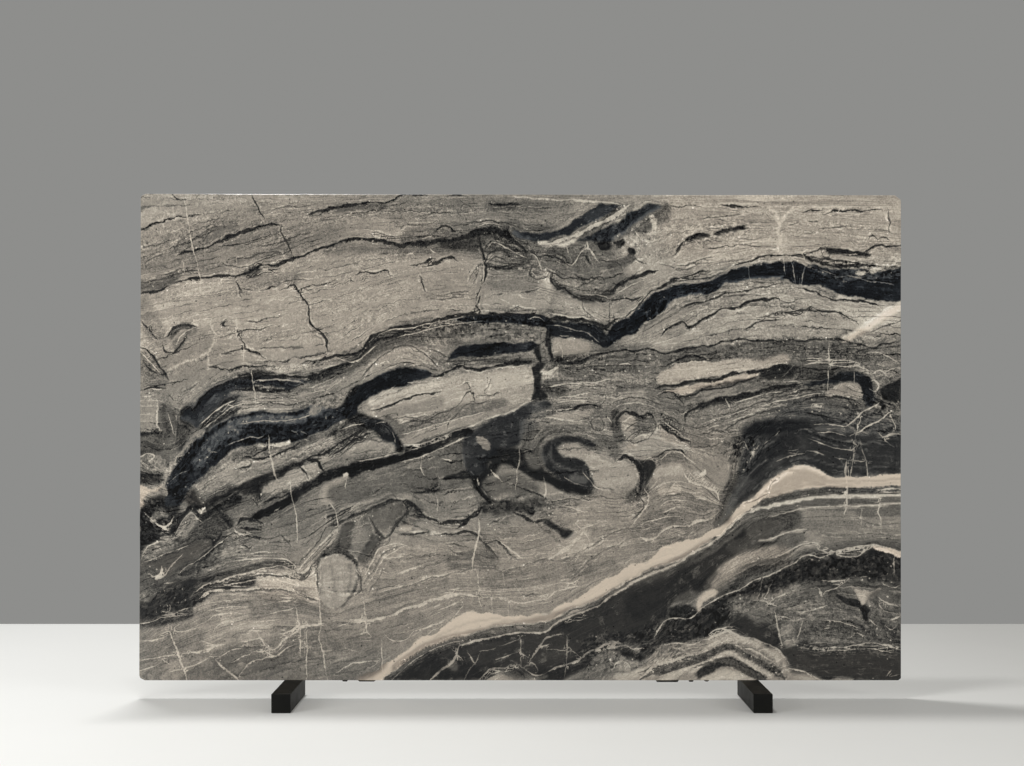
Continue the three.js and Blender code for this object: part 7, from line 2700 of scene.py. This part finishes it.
def make_slab():
    """The stone, in the place of the CAD slab."""
    places, faces, twins, polished = slab_mesh()
    mesh = bpy.data.meshes.new("marble_stone")
    mesh.from_pydata(places.tolist(), [], faces)
    paint_fields(mesh, twins)
    mesh.materials.append(polished_marble())
    mesh.materials.append(sawn_marble())
    slots = np.zeros(len(faces), np.int32)
    slots[polished:] = 1
    mesh.polygons.foreach_set("material_index", slots)
    bake_map(mesh, twins)
    mesh.update()
    slab = bpy.data.objects.new("marble_stone", mesh)
    bpy.context.collection.objects.link(slab)
    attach(slab, "root")
    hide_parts("marble_slab")


def dress(node, material):
    """Gives a CAD piece, which keeps its mesh, a material."""
    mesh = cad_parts[node].data
    mesh.materials.clear()
    mesh.materials.append(material)


# ---------------------------------------------------------------------------
# The stage: camera, floor and light.
# ---------------------------------------------------------------------------

SENSOR = 36  # the camera's sensor width, in millimetres
FLOOR_SIDE = 9.0  # the floor reaches this far to both sides
FLOOR_FRONT = -12.0
WORLD_COLOUR = (0.27, 0.27, 0.262, 1)

# The lamps: place, the point that it is aimed at, size and power.
CEILING_AIM = (-0.6, 0.2, 0.0)
SIDE_AIM = (0.0, 0.1, 0.9)
CEILING_SIZE = (1.6, 0.5)
SIDE_SIZE = (2.4, 2.4)
LAMPS = {
    "ceiling_behind": ((-1.7, 1.8, 9.0), CEILING_AIM, CEILING_SIZE, 440),
    "ceiling_before": ((-1.3, -1.7, 9.0), CEILING_AIM, CEILING_SIZE, 180),
    "left": ((-4.7, -4.4, 2.0), SIDE_AIM, SIDE_SIZE, 172),
    "right": ((4.7, -4.4, 2.0), SIDE_AIM, SIDE_SIZE, 108),
}


def make_camera():
    """A level camera that looks square at the slab, shifted to the photograph's frame."""
    data = bpy.data.cameras.new("camera")
    camera = bpy.data.objects.new("camera", data)
    bpy.context.collection.objects.link(camera)
    across, down = VANISHING_PX
    data.sensor_width = SENSOR
    data.lens = data.sensor_width * CAMERA_DISTANCE / (IMAGE_WIDTH * PIXEL)
    data.shift_y = (down - IMAGE_HEIGHT / 2) / IMAGE_WIDTH
    camera.location = (x_of(across), slab_low.y - CAMERA_DISTANCE, z_of(down))
    camera.rotation_euler = (math.pi / 2, 0, 0)
    bpy.context.scene.camera = camera
    return camera


def make_floor(camera):
    """A pale floor that ends where the photograph's wall begins."""
    below = (FLOOR_END_PX - VANISHING_PX[1]) * PIXEL
    end = camera.location.y + camera.location.z * CAMERA_DISTANCE / below
    corners = [(-FLOOR_SIDE, FLOOR_FRONT, 0), (FLOOR_SIDE, FLOOR_FRONT, 0),
               (FLOOR_SIDE, end, 0), (-FLOOR_SIDE, end, 0)]
    mesh = bpy.data.meshes.new("floor")
    mesh.from_pydata(corners, [], [(0, 1, 2, 3)])
    mesh.materials.append(floor_material())
    floor = bpy.data.objects.new("floor", mesh)
    bpy.context.collection.objects.link(floor)


def add_lamp(name, place, aim, size, power):
    """A rectangular area light."""
    data = bpy.data.lights.new(name, "AREA")
    data.shape = "RECTANGLE"
    data.size, data.size_y = size
    data.energy = power
    lamp = bpy.data.objects.new(name, data)
    lamp.location = place
    lamp.rotation_euler = (Vector(aim) - Vector(place)).to_track_quat("-Z", "Y").to_euler()
    bpy.context.collection.objects.link(lamp)


def make_light():
    """The room's own light and the lamps."""
    world = bpy.data.worlds.new("studio")
    world.use_nodes = True
    world.node_tree.nodes["Background"].inputs["Color"].default_value = WORLD_COLOUR
    bpy.context.scene.world = world
    for name, settings in LAMPS.items():
        add_lamp(name, *settings)
    bpy.context.scene.view_settings.view_transform = "Standard"


make_floor(make_camera())
make_light()
make_slab()
paint = black_paint()
rubber = packing_rubber()
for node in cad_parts:
    if node.startswith("foot_bar"):
        dress(node, paint)
    elif node.startswith("packer"):
        dress(node, rubber)
